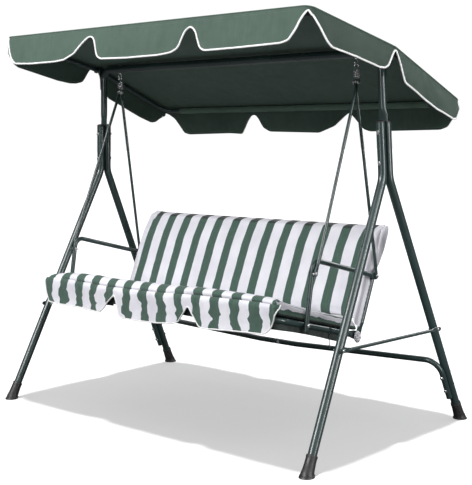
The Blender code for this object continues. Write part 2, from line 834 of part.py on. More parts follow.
def build_seat_rear_rail():
    corner = back_point(0, 0, 0)
    path = [corner + X_AXIS * (sign * REAR_RAIL_END) for sign in (-1, 1)]
    add_tube("seat_rear_rail", path, Z_AXIS, RAIL_R, pivot=BENCH_PIVOT)
    for side, sign in SIDES:
        outside = BACK_RAIL_X + RAIL_BLADE
        base = corner + X_AXIS * (sign * outside)
        grip = outside - REAR_RAIL_END + 0.008
        add_bolt(f"corner_bolt_{side}", base, -X_AXIS * sign, grip, pivot=BENCH_PIVOT)


def build_armrests():
    for side, sign in SIDES:
        rear_y = back_height(0, REAR_ROD_Z).y + 0.012
        points = [
            on_side((ARM_X, rear_y, arm_height(rear_y)), sign),
            on_side((ARM_X, ARM_FRONT_Y, arm_height(ARM_FRONT_Y)), sign),
            on_side((ARM_X, *POST_FOOT), sign),
        ]
        path = rounded_path(points, ARM_BEND_R, 5)
        ends = TubeEnds(flats=(0.03, 0), blade=ARM_BLADE)
        arm = add_tube(f"armrest_{side}", path, X_AXIS, ARM_R, 0.0012, 10, BENCH_PIVOT, ends)
        places = [back_height(ARM_X, REAR_ROD_Z), post_at(ARM_X, FRONT_ROD_Z), post_at(ARM_X, POST_BOLT_Z)]
        drill(arm, [(on_side(place, sign), X_AXIS, 0.02) for place in places])
        inward = -X_AXIS * sign
        front = rod_foot("front", sign) - inward * ROD_BLADE
        front_grip = abs(front.x) - ARM_X + ARM_R
        spacer = (2 * ROD_BLADE + GAP, front_grip - 2 * ARM_R - GAP)
        add_bolt(f"rod_bolt_front_{side}", front, inward, front_grip, collar=spacer, pivot=BENCH_PIVOT)
        rear = rod_foot("rear", sign) - inward * ROD_BLADE
        rear_grip = abs(rear.x) - BACK_RAIL_X + RAIL_R
        spacer = (abs(rear.x) - ARM_X + ARM_BLADE + GAP, rear_grip - 2 * RAIL_R - GAP)
        add_bolt(f"rod_bolt_rear_{side}", rear, inward, rear_grip, collar=spacer, pivot=BENCH_PIVOT)
        post = on_side(post_at(ARM_X + ARM_R, POST_BOLT_Z), sign)
        post_grip = ARM_X + ARM_R - SEAT_RAIL_X + RAIL_R
        add_bolt(f"post_bolt_{side}", post, inward, post_grip, pivot=BENCH_PIVOT)


def add_extrusion(name, outlines, slot):
    """A solid through equal outlines, each (x, points in the plane of that x)."""
    bm = bmesh.new()
    loft_into(bm, outlines)
    add_object(name, bm, slot, BENCH_PIVOT)


def build_sling():
    """One sheet, wrapped round the front rail and the top rail, that the cushions lie on."""
    low = seat_point(0, 0, 0)
    high = back_point(0, BACK_LENGTH, 0)
    seat_way = seat_point(0, 1, 0) - low
    seat_up = seat_point(0, 0, 1) - low
    back_way = back_point(0, 1, 0) - back_point(0, 0, 0)
    back_ahead = back_point(0, 0, 1) - back_point(0, 0, 0)
    up = (SLING_RISE - SLING_RISE * seat_up.dot(back_ahead)) / back_way.dot(seat_up)
    tail = 0.03
    path = [seat_point(0, tail, -SLING_RISE)]
    path += arc(low, -seat_up * SLING_RISE, -seat_way * SLING_RISE, 4)
    path += arc(low, -seat_way * SLING_RISE, seat_up * SLING_RISE, 4)[1:-1]
    start = seat_point(0, 0, SLING_RISE)
    finish_point = back_point(0, BACK_LENGTH, SLING_RISE)
    path += rounded_path((start, back_point(0, up, SLING_RISE), finish_point), 0.008, 5)
    path += arc(high, back_ahead * SLING_RISE, back_way * SLING_RISE, 4)[1:]
    path += arc(high, back_way * SLING_RISE, -back_ahead * SLING_RISE, 4)[1:]
    path.append(back_point(0, BACK_LENGTH - tail, -SLING_RISE))
    over, under = [], []
    for i, point in enumerate(path):
        before = path[max(i - 1, 0)]
        after = path[min(i + 1, len(path) - 1)]
        square = (after - before).normalized().cross(X_AXIS) * SLING_HALF
        over.append(point + square)
        under.append(point - square)
    outline = over + under[::-1]
    rings = [[point + X_AXIS * x for point in outline] for x in (-SLING_X, SLING_X)]
    add_extrusion("seat_sling", rings, "sling_fabric")


def skirt_bottom(x):
    """Height of the seat cushion's scalloped edge."""
    nearest = min(abs(abs(x) - SKIRT_NOTCH_X), abs(abs(x) - CUSHION_X))
    return SKIRT_APEX_Z + (SKIRT_BOTTOM_Z - SKIRT_APEX_Z) * smooth(nearest / SKIRT_NOTCH_HALF)


def notched_places(half, notches, spacing, reach):
    """Places from -half to half, close together near the notches and at the ends."""
    places = {-half, half}
    coarse = round(2 * half / spacing)
    fine = [0, 0.25, 0.5, 0.75, 1]
    near = [round(sign * centre + way * reach * part, 6) for centre in notches for sign in (-1, 1)
            for way in (-1, 1) for part in fine]
    near += [round(sign * (half - reach * part), 6) for sign in (-1, 1) for part in fine]
    for i in range(1, coarse):
        place = round(-half + 2 * half * i / coarse, 6)
        if min(abs(place - other) for other in near) > spacing / 4:
            places.add(place)
    places |= {place for place in near if abs(place) < half}
    return sorted(places)


def build_seat_cushion():
    rear = SEAT_LENGTH - 0.0145
    middle = (CUSHION_HIGH + CUSHION_LOW) / 2
    radius = (CUSHION_HIGH - CUSHION_LOW) / 2
    centre = seat_point(0, CUSHION_FRONT, middle)
    front_arc = []
    for i in range(6):
        angle = math.radians(180 - 18 * i) - SEAT_SLOPE * i / 5
        front_arc.append(centre + (Y_AXIS * math.cos(angle) + Z_AXIS * math.sin(angle)) * radius)
    rings = []
    for x in notched_places(CUSHION_X, [SKIRT_NOTCH_X], 0.12, SKIRT_NOTCH_HALF):
        bottom = skirt_bottom(x)
        outline = [
            seat_point(0, rear, CUSHION_LOW),
            seat_point(0, rear / 2, CUSHION_LOW),
            seat_point(0, CUSHION_FRONT + 0.003, CUSHION_LOW),
            Vector((0, SKIRT_Y[1], 0.508)),
            Vector((0, SKIRT_Y[1], bottom)),
            Vector((0, SKIRT_Y[0], bottom)),
            Vector((0, SKIRT_Y[0], 0.51)),
            *front_arc,
            seat_point(0, rear / 2, (CUSHION_HIGH + CUSHION_REAR_HIGH) / 2),
            seat_point(0, rear - 0.009, CUSHION_REAR_HIGH),
            seat_point(0, rear - 0.0026, CUSHION_REAR_HIGH - 0.0026),
            seat_point(0, rear, CUSHION_REAR_HIGH - 0.009),
        ]
        rings.append([point + X_AXIS * x for point in outline])
    add_extrusion("seat_cushion", rings, "stripe_fabric")


def build_back_cushion():
    """A slab in front of the backrest that folds over the top rail and hangs down behind it."""
    outer = HOOD_INNER + FLAP_THICK
    middle = (BACK_CUSHION_FACE - outer) / 2
    half = (BACK_CUSHION_FACE + outer) / 2
    foot = BACK_CUSHION_FOOT
    outline = [
        back_point(0, BACK_LENGTH - FLAP_LENGTH, -outer),
        back_point(0, BACK_LENGTH - FLAP_LENGTH, -HOOD_INNER),
    ]
    for i in range(9):
        angle = math.pi * i / 8
        outline.append(
            back_point(0, BACK_LENGTH + HOOD_INNER * math.sin(angle), -HOOD_INNER * math.cos(angle))
        )
    outline += [
        back_point(0, foot, HOOD_INNER),
        back_point(0, foot, BACK_CUSHION_FACE - 0.009),
        back_point(0, foot + 0.0026, BACK_CUSHION_FACE - 0.0026),
        back_point(0, foot + 0.009, BACK_CUSHION_FACE),
    ]
    for i in range(9):
        angle = math.pi * i / 8
        outline.append(
            back_point(0, BACK_LENGTH + HOOD_OUTER * math.sin(angle), middle + half * math.cos(angle))
        )
    rings = [[point + X_AXIS * x for point in outline] for x in (-CUSHION_X, 0, CUSHION_X)]
    add_extrusion("back_cushion", rings, "stripe_fabric")


# ---------------------------------------------------------------- canopy


def build_canopy_frame():
    for side, sign in SIDES:
        points = [
            (SIDE_ARM_END_X, *FRONT_BAR),
            (SIDE_ARM_X, *FRONT_BAR),
            (SIDE_ARM_X, MID_Y, BEAM_Z),
            (SIDE_ARM_X, *REAR_BAR),
            (SIDE_ARM_END_X, *REAR_BAR),
        ]
        path = rounded_path([on_side(point, sign) for point in points], SIDE_ARM_BEND_R, 5)
        normal = Vector((0.3 * sign, 0.3, 1)).normalized()
        arm = add_tube(f"canopy_arm_{side}", path, normal, SIDE_ARM_R, 0.0012, 10, CANOPY_PIVOT)
        drill(arm, [(on_side((SIDE_ARM_X, MID_Y, BEAM_Z), sign), X_AXIS, 0.02)])
        add_tilt_knob(side, sign)
    for name, (y, z) in (("canopy_bar_front", FRONT_BAR), ("canopy_bar_rear", REAR_BAR)):
        path = [Vector((sign * BAR_HALF, y, z)) for sign in (-1, 1)]
        add_tube(name, path, Z_AXIS, BAR_R, BAR_WALL, 12, CANOPY_PIVOT)


def add_tilt_knob(side, sign):
    """A knob with a moulded-in stud that clamps a canopy arm to its lug."""
    base = on_side((STUD_TIP_X, MID_Y, BEAM_Z), sign)
    face = SIDE_ARM_X + SIDE_ARM_R + GAP - STUD_TIP_X
    profile = [
        (0.0024, 0),
        (0.003, 0.001),
        (0.003, face),
        (KNOB_R - 0.002, face),
        (KNOB_R, face + 0.003),
        (KNOB_R, face + 0.007),
        (KNOB_R - 0.003, face + 0.01),
    ]
    add_turned(f"tilt_knob_{side}", base, X_AXIS * sign, profile, "black_plastic", 14, CANOPY_PIVOT)


def roof_height(x, y):
    """Height of the canopy's roof: two slopes that meet over the pivot, with a slight crown."""
    edge_y, edge_z = CANOPY_FRONT if y < MID_Y else CANOPY_REAR
    share = (y - MID_Y) / (edge_y - MID_Y)
    crown = CANOPY_CROWN * (1 - (x / CANOPY_X) ** 4) * (1 - share)
    return CANOPY_HIP_Z + (edge_z - CANOPY_HIP_Z) * share + crown


def canopy_edge():
    """Points round the roof's edge, each (x, y, outward x, outward y, distance to the nearest notch)."""
    radius = CANOPY_CORNER_R
    half_arc = math.pi * radius / 4
    centre_y = (CANOPY_FRONT[0] + CANOPY_REAR[0]) / 2
    half_y = (CANOPY_REAR[0] - CANOPY_FRONT[0]) / 2
    straight_x = CANOPY_X - radius
    straight_y = half_y - radius
    reach = NOTCH_HALF - half_arc
    edge = []
    for x in notched_places(straight_x, [VALANCE_NOTCH_X], 0.15, NOTCH_HALF):
        distance = min(abs(abs(x) - VALANCE_NOTCH_X), straight_x - abs(x) + half_arc)
        edge.append((x, CANOPY_FRONT[0], 0, -1, distance))
    edge += corner_points(straight_x, centre_y - straight_y, -90, half_arc)
    side_places = {centre_y - straight_y, centre_y + straight_y}
    side_places |= {centre_y - straight_y + reach, centre_y + straight_y - reach}
    side_places |= {MID_Y + NOTCH_HALF * part / 4 for part in range(-4, 5)}
    side_places |= {MID_Y - 0.22, MID_Y + 0.2}
    for y in sorted(side_places):
        distance = min(abs(y - MID_Y), straight_y - abs(y - centre_y) + half_arc)
        edge.append((CANOPY_X, y, 1, 0, distance))
    edge += corner_points(straight_x, centre_y + straight_y, 0, half_arc)
    front_half = [point for point in edge if point[1] == CANOPY_FRONT[0]]
    rear = [(x, CANOPY_REAR[0], 0, 1, distance) for x, _, _, _, distance in front_half[::-1]]
    right = edge[len(front_half):]
    left = [(-x, y, -nx, ny, distance) for x, y, nx, ny, distance in right[::-1]]
    return front_half + right + rear + left


def corner_points(x, y, start, half_arc):
    """The rounded corner between two edges, without its two end points."""
    points = []
    steps = 6
    for i in range(1, steps):
        angle = math.radians(start + 90 * i / steps)
        way = (math.cos(angle), math.sin(angle))
        distance = abs(i / steps - 0.5) * 2 * half_arc
        points.append((x + CANOPY_CORNER_R * way[0], y + CANOPY_CORNER_R * way[1], *way, distance))
    return points


def build_canopy_fabric():
    edge = canopy_edge()

    def roof_ring(scale, inset):
        ring = []
        for x, y, out_x, out_y, _ in edge:
            point_x = (x - out_x * inset) * scale
            point_y = MID_Y + (y - out_y * inset - MID_Y) * scale
            ring.append(Vector((point_x, point_y, roof_height(point_x, point_y) - inset)))
        return ring

    def skirt_ring(share, inset):
        ring = []
        for x, y, out_x, out_y, distance in edge:
            full = VALANCE_SIDE_DROP + (VALANCE_END_DROP - VALANCE_SIDE_DROP) * abs(out_y)
            drop = VALANCE_NOTCH_DROP + (full - VALANCE_NOTCH_DROP) * smooth(distance / NOTCH_HALF)
            out = VALANCE_FLARE * share * drop / full - inset
            ring.append(Vector((x + out_x * out, y + out_y * out, roof_height(x, y) - drop * share)))
        return ring

    roof = (0.4, 0.75, 1)
    skirt = (0.35, 0.7, 1)
    outer = [roof_ring(scale, 0) for scale in roof] + [skirt_ring(share, 0) for share in skirt]
    inner = [roof_ring(scale, CANOPY_THICK) for scale in roof]
    inner += [skirt_ring(share, CANOPY_THICK) for share in skirt]
    bm = bmesh.new()
    rows = [[bm.verts.new(point) for point in ring] for ring in outer + inner[::-1]]
    for low, high in zip(rows, rows[1:]):
        bridge(bm, low, high)
    for row, inset in ((rows[0], 0), (rows[-1], CANOPY_THICK)):
        centre = bm.verts.new((0, MID_Y, roof_height(0, MID_Y) - inset))
        for i, vert in enumerate(row):
            bm.faces.new((vert, row[(i + 1) % len(row)], centre))
    add_object("canopy_fabric", bm, "canopy_fabric", CANOPY_PIVOT)


# ---------------------------------------------------------------- assembly


clear_scene()
build_legs()
build_uprights()
build_beam()
build_leg_bolts()
build_side_braces()
build_rear_brace()
build_eye_bolts()
build_springs()
build_hangers()
build_seat_frame()
build_back_frame()
build_seat_rear_rail()
build_armrests()
build_sling()
build_seat_cushion()
build_back_cushion()
build_canopy_frame()
build_canopy_fabric()
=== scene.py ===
"""The looks of a canopy swing bench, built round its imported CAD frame. Metres, +Z up, the bench faces -Y."""

import json
import math

import bmesh
import bpy
import numpy as np
from mathutils import Matrix, Vector, noise

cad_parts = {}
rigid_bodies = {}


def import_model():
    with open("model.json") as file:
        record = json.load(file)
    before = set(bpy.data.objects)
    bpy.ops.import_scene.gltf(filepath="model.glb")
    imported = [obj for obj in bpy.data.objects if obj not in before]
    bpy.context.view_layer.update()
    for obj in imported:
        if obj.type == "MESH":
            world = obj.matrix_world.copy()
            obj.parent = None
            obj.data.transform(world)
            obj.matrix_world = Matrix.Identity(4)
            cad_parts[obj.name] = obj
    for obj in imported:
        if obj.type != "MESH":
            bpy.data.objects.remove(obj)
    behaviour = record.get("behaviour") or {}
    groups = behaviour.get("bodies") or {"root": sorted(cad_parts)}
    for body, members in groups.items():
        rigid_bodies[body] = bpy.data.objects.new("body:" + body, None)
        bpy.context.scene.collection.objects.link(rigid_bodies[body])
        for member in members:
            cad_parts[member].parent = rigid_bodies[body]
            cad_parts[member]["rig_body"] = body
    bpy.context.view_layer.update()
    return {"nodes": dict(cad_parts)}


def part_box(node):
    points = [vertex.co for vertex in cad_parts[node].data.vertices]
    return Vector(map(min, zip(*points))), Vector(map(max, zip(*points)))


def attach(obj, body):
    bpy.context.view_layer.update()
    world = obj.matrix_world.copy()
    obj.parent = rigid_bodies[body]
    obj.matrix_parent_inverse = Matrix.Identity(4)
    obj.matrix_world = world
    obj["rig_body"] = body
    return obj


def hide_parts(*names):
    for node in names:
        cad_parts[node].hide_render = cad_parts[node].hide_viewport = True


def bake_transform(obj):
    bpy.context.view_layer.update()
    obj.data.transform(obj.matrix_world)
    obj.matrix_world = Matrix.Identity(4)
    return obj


for leftover in list(bpy.data.objects):
    bpy.data.objects.remove(leftover, do_unlink=True)

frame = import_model()

X_AXIS = Vector((1, 0, 0))
Y_AXIS = Vector((0, 1, 0))
Z_AXIS = Vector((0, 0, 1))
SIDES = (("left", -1), ("right", 1))
ENDS = (("front", -1), ("rear", 1))


# ---------------------------------------------------------------- places, from the CAD frame


def middle(node):
    low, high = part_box(node)
    return (low + high) / 2


LEG_R = 0.016
BLADE_HALF = 0.0025
LEAN = 0.0484
MID_Y = middle("top_beam").y
BEAM_Z = middle("top_beam").z
BEAM_R = 0.016
BEAM_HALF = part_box("top_beam")[1].x
FOOT_X = middle("foot_cap_front_right").x + LEAN * 0.0375
FOOT_Y = 0.47
SOLE_R = 0.027
LEG_BEND_Z = 0.955
LEG_BEND_R = 0.1
LEG_START = 0.0145  # the tube ends this far up inside its foot cap
LEG_TOP_Z = 1.153
LEG_BOLT_Z = (1.01, 1.118)
UPRIGHT_R = 0.014
UPRIGHT_BEND_R = 0.045
UPRIGHT_END_X = 0.6  # where its upper end stops inside the beam
BLADE_FOOT_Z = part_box("upright_right")[0].z
BLADE_TOP_Z = 1.163
SIDE_BRACE_Z = (0.388, 0.375)
SIDE_BRACE_R = 0.006
SIDE_BRACE_FLAT = 0.045
REAR_BRACE_R = 0.011
REAR_BRACE_Z = 0.259
REAR_BRACE_SAG = 0.024
REAR_BRACE_BEND_R = 0.06
REAR_BRACE_KNEE_X = 0.1
REAR_BRACE_END_X = {"left": 0.034, "right": -0.014}  # the left half slides into the right one
REAR_BRACE_SWAGE = (0.049, 0.0088)
REAR_BRACE_FOOT_Z = 0.105
REAR_BRACE_BOLT_Z = (0.139, 0.192)
BOLT_GAP = 0.0003

SPRING_X = middle("spring_right").x
SWING_Z = 1.3665
WIRE_R = 0.0022
COIL_R = 0.0105
LOOP_R = 0.0085
COIL_TURNS = 4.25
COIL_PITCH = 0.0062
COIL_TOP_Z = 1.343
TOP_LOOP_Z = 1.358
LOW_LOOP_Z = 1.302
HANG_Z = 1.3
EYE_Z = 1.37
EYE_R = 0.0085
EYE_WIRE_R = 0.0025
ROD_R = 0.006
ROD_SPREAD = 0.0047
ROD_FLAT = 0.03
ROD_OVERHANG = 0.009
BLADE_T = 0.002  # half the thickness of a pressed rod or brace end

RAIL_R = 0.011
RAIL_BEND_R = 0.05
RAIL_BEYOND = 0.013  # how far the flattened rail ends pass the corner bolts
REAR_RAIL_HALF = 0.63
SEAT_FRONT = (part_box("seat_frame")[0].y + RAIL_R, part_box("seat_frame")[1].z - RAIL_R)
SEAT_SLOPE = math.atan(0.272)
CORNER_Y = middle("seat_rear_rail").y
CORNER_Z = middle("seat_rear_rail").z
SEAT_LENGTH = (CORNER_Y - SEAT_FRONT[0]) / math.cos(SEAT_SLOPE)
RECLINE = math.atan(0.434)
BACK_LENGTH = 0.394
SEAT_RAIL_X = 0.6325
BACK_RAIL_X = 0.6373
ARM_R = 0.009
ARM_X = 0.6528
ARM_SLOPE = 0.273
ARM_BEND_R = 0.035
ARM_FRONT_Y = -0.222
POST_FOOT = (-0.2665, 0.436)
POST_BOLT_Z = 0.456
FRONT_ROD_Z = 0.634
REAR_ROD_Z = 0.583
ROD_STANDOFF = 0.0085
SLING_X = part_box("seat_sling")[1].x
SLING_RISE = 0.0125
SLING_T = 0.0014
CLOTH_T = 0.0016
CUSHION_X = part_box("seat_cushion")[1].x
PAD_MIDDLE_X = 0.016  # the seat pad lies a little to the right on its sling
PAD_HALF_X = 0.63
BACK_MIDDLE_X = 0.006
SIDE_HEIGHT = 0.05  # the seat pad's side at y = 0, and how it tapers to the rear
SIDE_TAPER = -0.0506
CUSHION_LOW = 0.0165  # the seat pad's heights above the seat frame's plane
SLING_HEM = 0.028  # how far the sling's loose edge hangs down round the seat rails
CUSHION_HIGH = 0.062
CUSHION_REAR_HIGH = 0.048
CUSHION_FRONT = -0.0145
SKIRT_Y = -0.4135
SEAM_Z = 0.532
HOOD_INNER = 0.0155
BACK_FACE = 0.05  # how far the back cushion stands ahead of the back frame
BACK_FOOT = 0.05
SLACK = 0.0022  # room left for the pads to swell
VOXEL = 0.006
SEAT_SWELL = 0.0078  # how far a simulated point may move
BACK_SWELL = 0.0062
FLAP_LENGTH = 0.07

CANOPY_X = 0.8135
CANOPY_FRONT = (-0.424, 1.53)
CANOPY_REAR = (0.468, 1.226)
CANOPY_HIP_Z = 1.416
CANOPY_CROWN = 0.0145
CORNER_R = 0.03
SIDE_ARM_X = 0.79
SIDE_ARM_R = 0.0095
SIDE_ARM_BEND_R = 0.06
SIDE_ARM_END_X = 0.66
BAR_R = 0.011
KNOB_STUD_X = 0.757
LUG_X = (0.7625, 0.7665)
LUG_HALF = 0.012
LUG_FOOT_Z = 1.314
FRONT_BAR = (middle("canopy_bar_front").y, middle("canopy_bar_front").z)
REAR_BAR = (middle("canopy_bar_rear").y, middle("canopy_bar_rear").z)
BAR_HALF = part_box("canopy_bar_front")[1].x


def frame_x(z):
    return FOOT_X - LEAN * z


def on_side(point, sign):
    return Vector((sign * point[0], point[1], point[2]))


def frame_normal(sign):
    return Vector((sign, 0, LEAN)).normalized()


def leg_points(end, sign):
    top_y = MID_Y + end * (LEG_R + BLADE_HALF + BOLT_GAP)
    return (
        on_side((frame_x(0), end * FOOT_Y, 0), sign),
        on_side((frame_x(LEG_BEND_Z), top_y, LEG_BEND_Z), sign),
        on_side((frame_x(LEG_TOP_Z), top_y, LEG_TOP_Z), sign),
    )


def leg_at(end, sign, z):
    foot, bend, _ = leg_points(end, sign)
    return foot.lerp(bend, z / LEG_BEND_Z)


def rear_brace_way(sign):
    foot, bend, _ = leg_points(1, sign)
    way = (bend - foot).cross(frame_normal(sign)).normalized()
    return way if way.y < 0 else -way


def seat_point(x, along, above):
    y = SEAT_FRONT[0] + along * math.cos(SEAT_SLOPE) + above * math.sin(SEAT_SLOPE)
    z = SEAT_FRONT[1] - along * math.sin(SEAT_SLOPE) + above * math.cos(SEAT_SLOPE)
    return Vector((x, y, z))


def back_point(x, up, ahead):
    y = CORNER_Y + up * math.sin(RECLINE) - ahead * math.cos(RECLINE)
    z = CORNER_Z + up * math.cos(RECLINE) + ahead * math.sin(RECLINE)
    return Vector((x, y, z))


def back_height(x, z):
    return back_point(x, (z - CORNER_Z) / math.cos(RECLINE), 0)


def arm_height(y):
    return REAR_ROD_Z + ARM_SLOPE * (back_height(0, REAR_ROD_Z).y - y)


def post_at(x, z):
    top_z = arm_height(ARM_FRONT_Y)
    share = (top_z - z) / (top_z - POST_FOOT[1])
    return Vector((x, ARM_FRONT_Y + (POST_FOOT[0] - ARM_FRONT_Y) * share, z))


def hang_pivot(sign):
    return on_side((SPRING_X, MID_Y, HANG_Z), sign)


def table(pairs, place):
    """The value at a place, from (place, value) pairs, eased over a few millimetres."""
    places, values = zip(*pairs)
    near = [place + step * 0.0035 for step in (-2, -1, 0, 1, 2)]
    return float(np.mean(np.interp(near, places, values)))


def smooth(share):
    share = min(max(share, 0.0), 1.0)
    return share * share * (3 - 2 * share)


# ---------------------------------------------------------------- materials


class Graph:
    """Builds one node material. Sockets are given as outputs or as plain values."""

    def __init__(self, name):
        self.material = bpy.data.materials.new(name)
        self.material.use_nodes = True
        self.tree = self.material.node_tree
        self.shader = self.tree.nodes["Principled BSDF"]

    def add(self, kind, inputs=None, **settings):
        node = self.tree.nodes.new(kind)
        for key, value in settings.items():
            setattr(node, key, value)
        for key, value in (inputs or {}).items():
            self.feed(node.inputs[key], value)
        return node

    def feed(self, socket, value):
        if isinstance(value, bpy.types.NodeSocket):
            self.tree.links.new(value, socket)
        elif isinstance(value, tuple) and len(value) == 3 and socket.type == "RGBA":
            socket.default_value = (*value, 1)
        else:
            socket.default_value = value

    def set(self, **inputs):
        for key, value in inputs.items():
            self.feed(self.shader.inputs[key.replace("_", " ")], value)

    def math(self, operation, a, b=0.0, c=0.0, clamp=False):
        node = self.add("ShaderNodeMath", {0: a, 1: b, 2: c}, operation=operation)
        node.use_clamp = clamp
        return node.outputs[0]

    def mul(self, a, b):
        return self.math("MULTIPLY", a, b)

    def sub(self, a, b):
        return self.math("SUBTRACT", a, b)

    def mad(self, a, b, c, clamp=False):
        return self.math("MULTIPLY_ADD", a, b, c, clamp)

    def mix(self, factor, a, b):
        node = self.add("ShaderNodeMix", data_type="RGBA")
        for index, value in ((0, factor), (6, a), (7, b)):
            self.feed(node.inputs[index], value)
        return node.outputs[2]

    def place(self):
        coordinates = self.add("ShaderNodeTexCoord")
        split = self.add("ShaderNodeSeparateXYZ", {0: coordinates.outputs["Object"]})
        return coordinates.outputs["Object"], split.outputs

    def noise(self, scale, detail=2.0, vector=None, stretch=None):
        vector = vector or self.place()[0]
        if stretch:
            vector = self.add("ShaderNodeMapping", {"Vector": vector, "Scale": stretch}).outputs[0]
        inputs = {"Vector": vector, "Scale": scale, "Detail": detail}
        return self.add("ShaderNodeTexNoise", inputs).outputs["Fac"]

    def spread(self, value, low=0.0, high=1.0):
        inputs = {"Value": value, "From Min": 0.3, "From Max": 0.7, "To Min": low, "To Max": high}
        return self.add("ShaderNodeMapRange", inputs).outputs[0]

    def bump(self, layers):
        """Layers are (height, distance in metres); each is laid over the one before."""
        normal = None
        for height, distance in layers:
            inputs = {"Height": height, "Distance": distance, "Strength": 1.0}
            if normal:
                inputs["Normal"] = normal
            normal = self.add("ShaderNodeBump", inputs).outputs[0]
        self.set(Normal=normal)

    def weave(self, pitch):
        """Crossed threads, on whichever pair of axes the surface faces."""
        _, parts = self.place()
        waves = [self.math("SINE", self.mul(part, math.pi / pitch)) for part in parts]
        normal = self.add("ShaderNodeTexCoord").outputs["Normal"]
        facing = self.add("ShaderNodeSeparateXYZ", {0: normal}).outputs
        total = None
        for i in range(3):
            crossed = self.mul(waves[(i + 1) % 3], waves[(i + 2) % 3])
            weight = self.mul(facing[i], facing[i])
            term = self.mul(crossed, weight)
            total = term if total is None else self.math("ADD", total, term)
        return total


def paint():
    """Powder-coated steel: a glossy dark green with slight orange peel and a few rubbed places."""
    g = Graph("frame_powder_coat")
    tone = g.spread(g.noise(7.0, 3.0))
    colour = g.mix(tone, (0.012, 0.027, 0.026), (0.02, 0.041, 0.039))
    rub = g.math("GREATER_THAN", g.noise(110.0, 5.0), 0.73)
    colour = g.mix(g.mul(rub, 0.25), colour, (0.05, 0.08, 0.07))
    g.set(Base_Color=colour, Roughness=g.spread(g.noise(26.0, 4.0), 0.26, 0.38))
    g.set(Coat_Weight=0.3, Coat_Roughness=0.1, Specular_IOR_Level=0.5)
    g.bump([(g.noise(300.0, 1.0), 0.00003)])
    return g.material


def plain(name, tone, colours, rough, bump, metallic=0.0):
    """Wanders between two colours. tone, rough and bump begin with their noise's scale and detail."""
    g = Graph(name)
    g.set(Base_Color=g.mix(g.spread(g.noise(*tone)), *colours), Metallic=metallic)
    g.set(Roughness=rough if isinstance(rough, float) else g.spread(g.noise(*rough[:2]), *rough[2:]))
    g.bump([(g.noise(*bump[:2]), bump[2])])
    return g.material


def metal(name, colour, low, high):
    darker = tuple(part * 0.78 for part in colour)
    return plain(name, (60.0, 3.0), (colour, darker), (150.0, 3.0, low, high), (900.0, 2.0, 0.00004), 1.0)


def canopy_cloth(name, dark, light):
    """Plain-woven polyester, with a stitched hem and edge where the sheet carries those distances."""
    g = Graph(name)
    weave = g.weave(0.0011)
    cloud = g.spread(g.noise(5.0, 4.0))
    slub = g.spread(g.noise(90.0, 3.0, stretch=(1.0, 0.12, 0.12)))
    tone = g.math("ADD", g.mul(cloud, 0.6), g.mul(slub, 0.4))
    thread = g.mad(weave, 0.12, tone, clamp=True)
    colour = g.mix(thread, dark, light)
    stitches = None
    stitch_length, half_stitch = 0.0045, 0.0006
    run = g.add("ShaderNodeAttribute", attribute_name="run").outputs["Fac"]
    dash = g.math("GREATER_THAN", g.math("SINE", g.mul(run, 2 * math.pi / stitch_length)), -0.35)
    for attribute, distance in (("hem", 0.0085), ("edge", 0.0075), ("edge", 0.0135)):
        value = g.add("ShaderNodeAttribute", attribute_name=attribute).outputs["Fac"]
        off = g.math("ABSOLUTE", g.sub(value, distance))
        line = g.mul(g.math("LESS_THAN", off, half_stitch), dash)
        stitches = line if stitches is None else g.math("MAXIMUM", stitches, line)
    colour = g.mix(g.mul(stitches, 0.6), colour, (0.16, 0.22, 0.19))
    g.set(Base_Color=colour, Roughness=g.spread(g.noise(30.0, 2.0), 0.68, 0.84))
    g.set(Sheen_Weight=0.25, Sheen_Roughness=0.45, Sheen_Tint=(0.6, 0.8, 0.7))
    crease = g.noise(14.0, 3.0)
    height = g.mul(stitches, -1.0)
    g.bump([(crease, 0.0016), (weave, 0.00016), (height, 0.0005)])
    return g.material


STRIPE_EDGE = 20.0  # how sharply a stripe starts
BAND_EDGE = 40.0


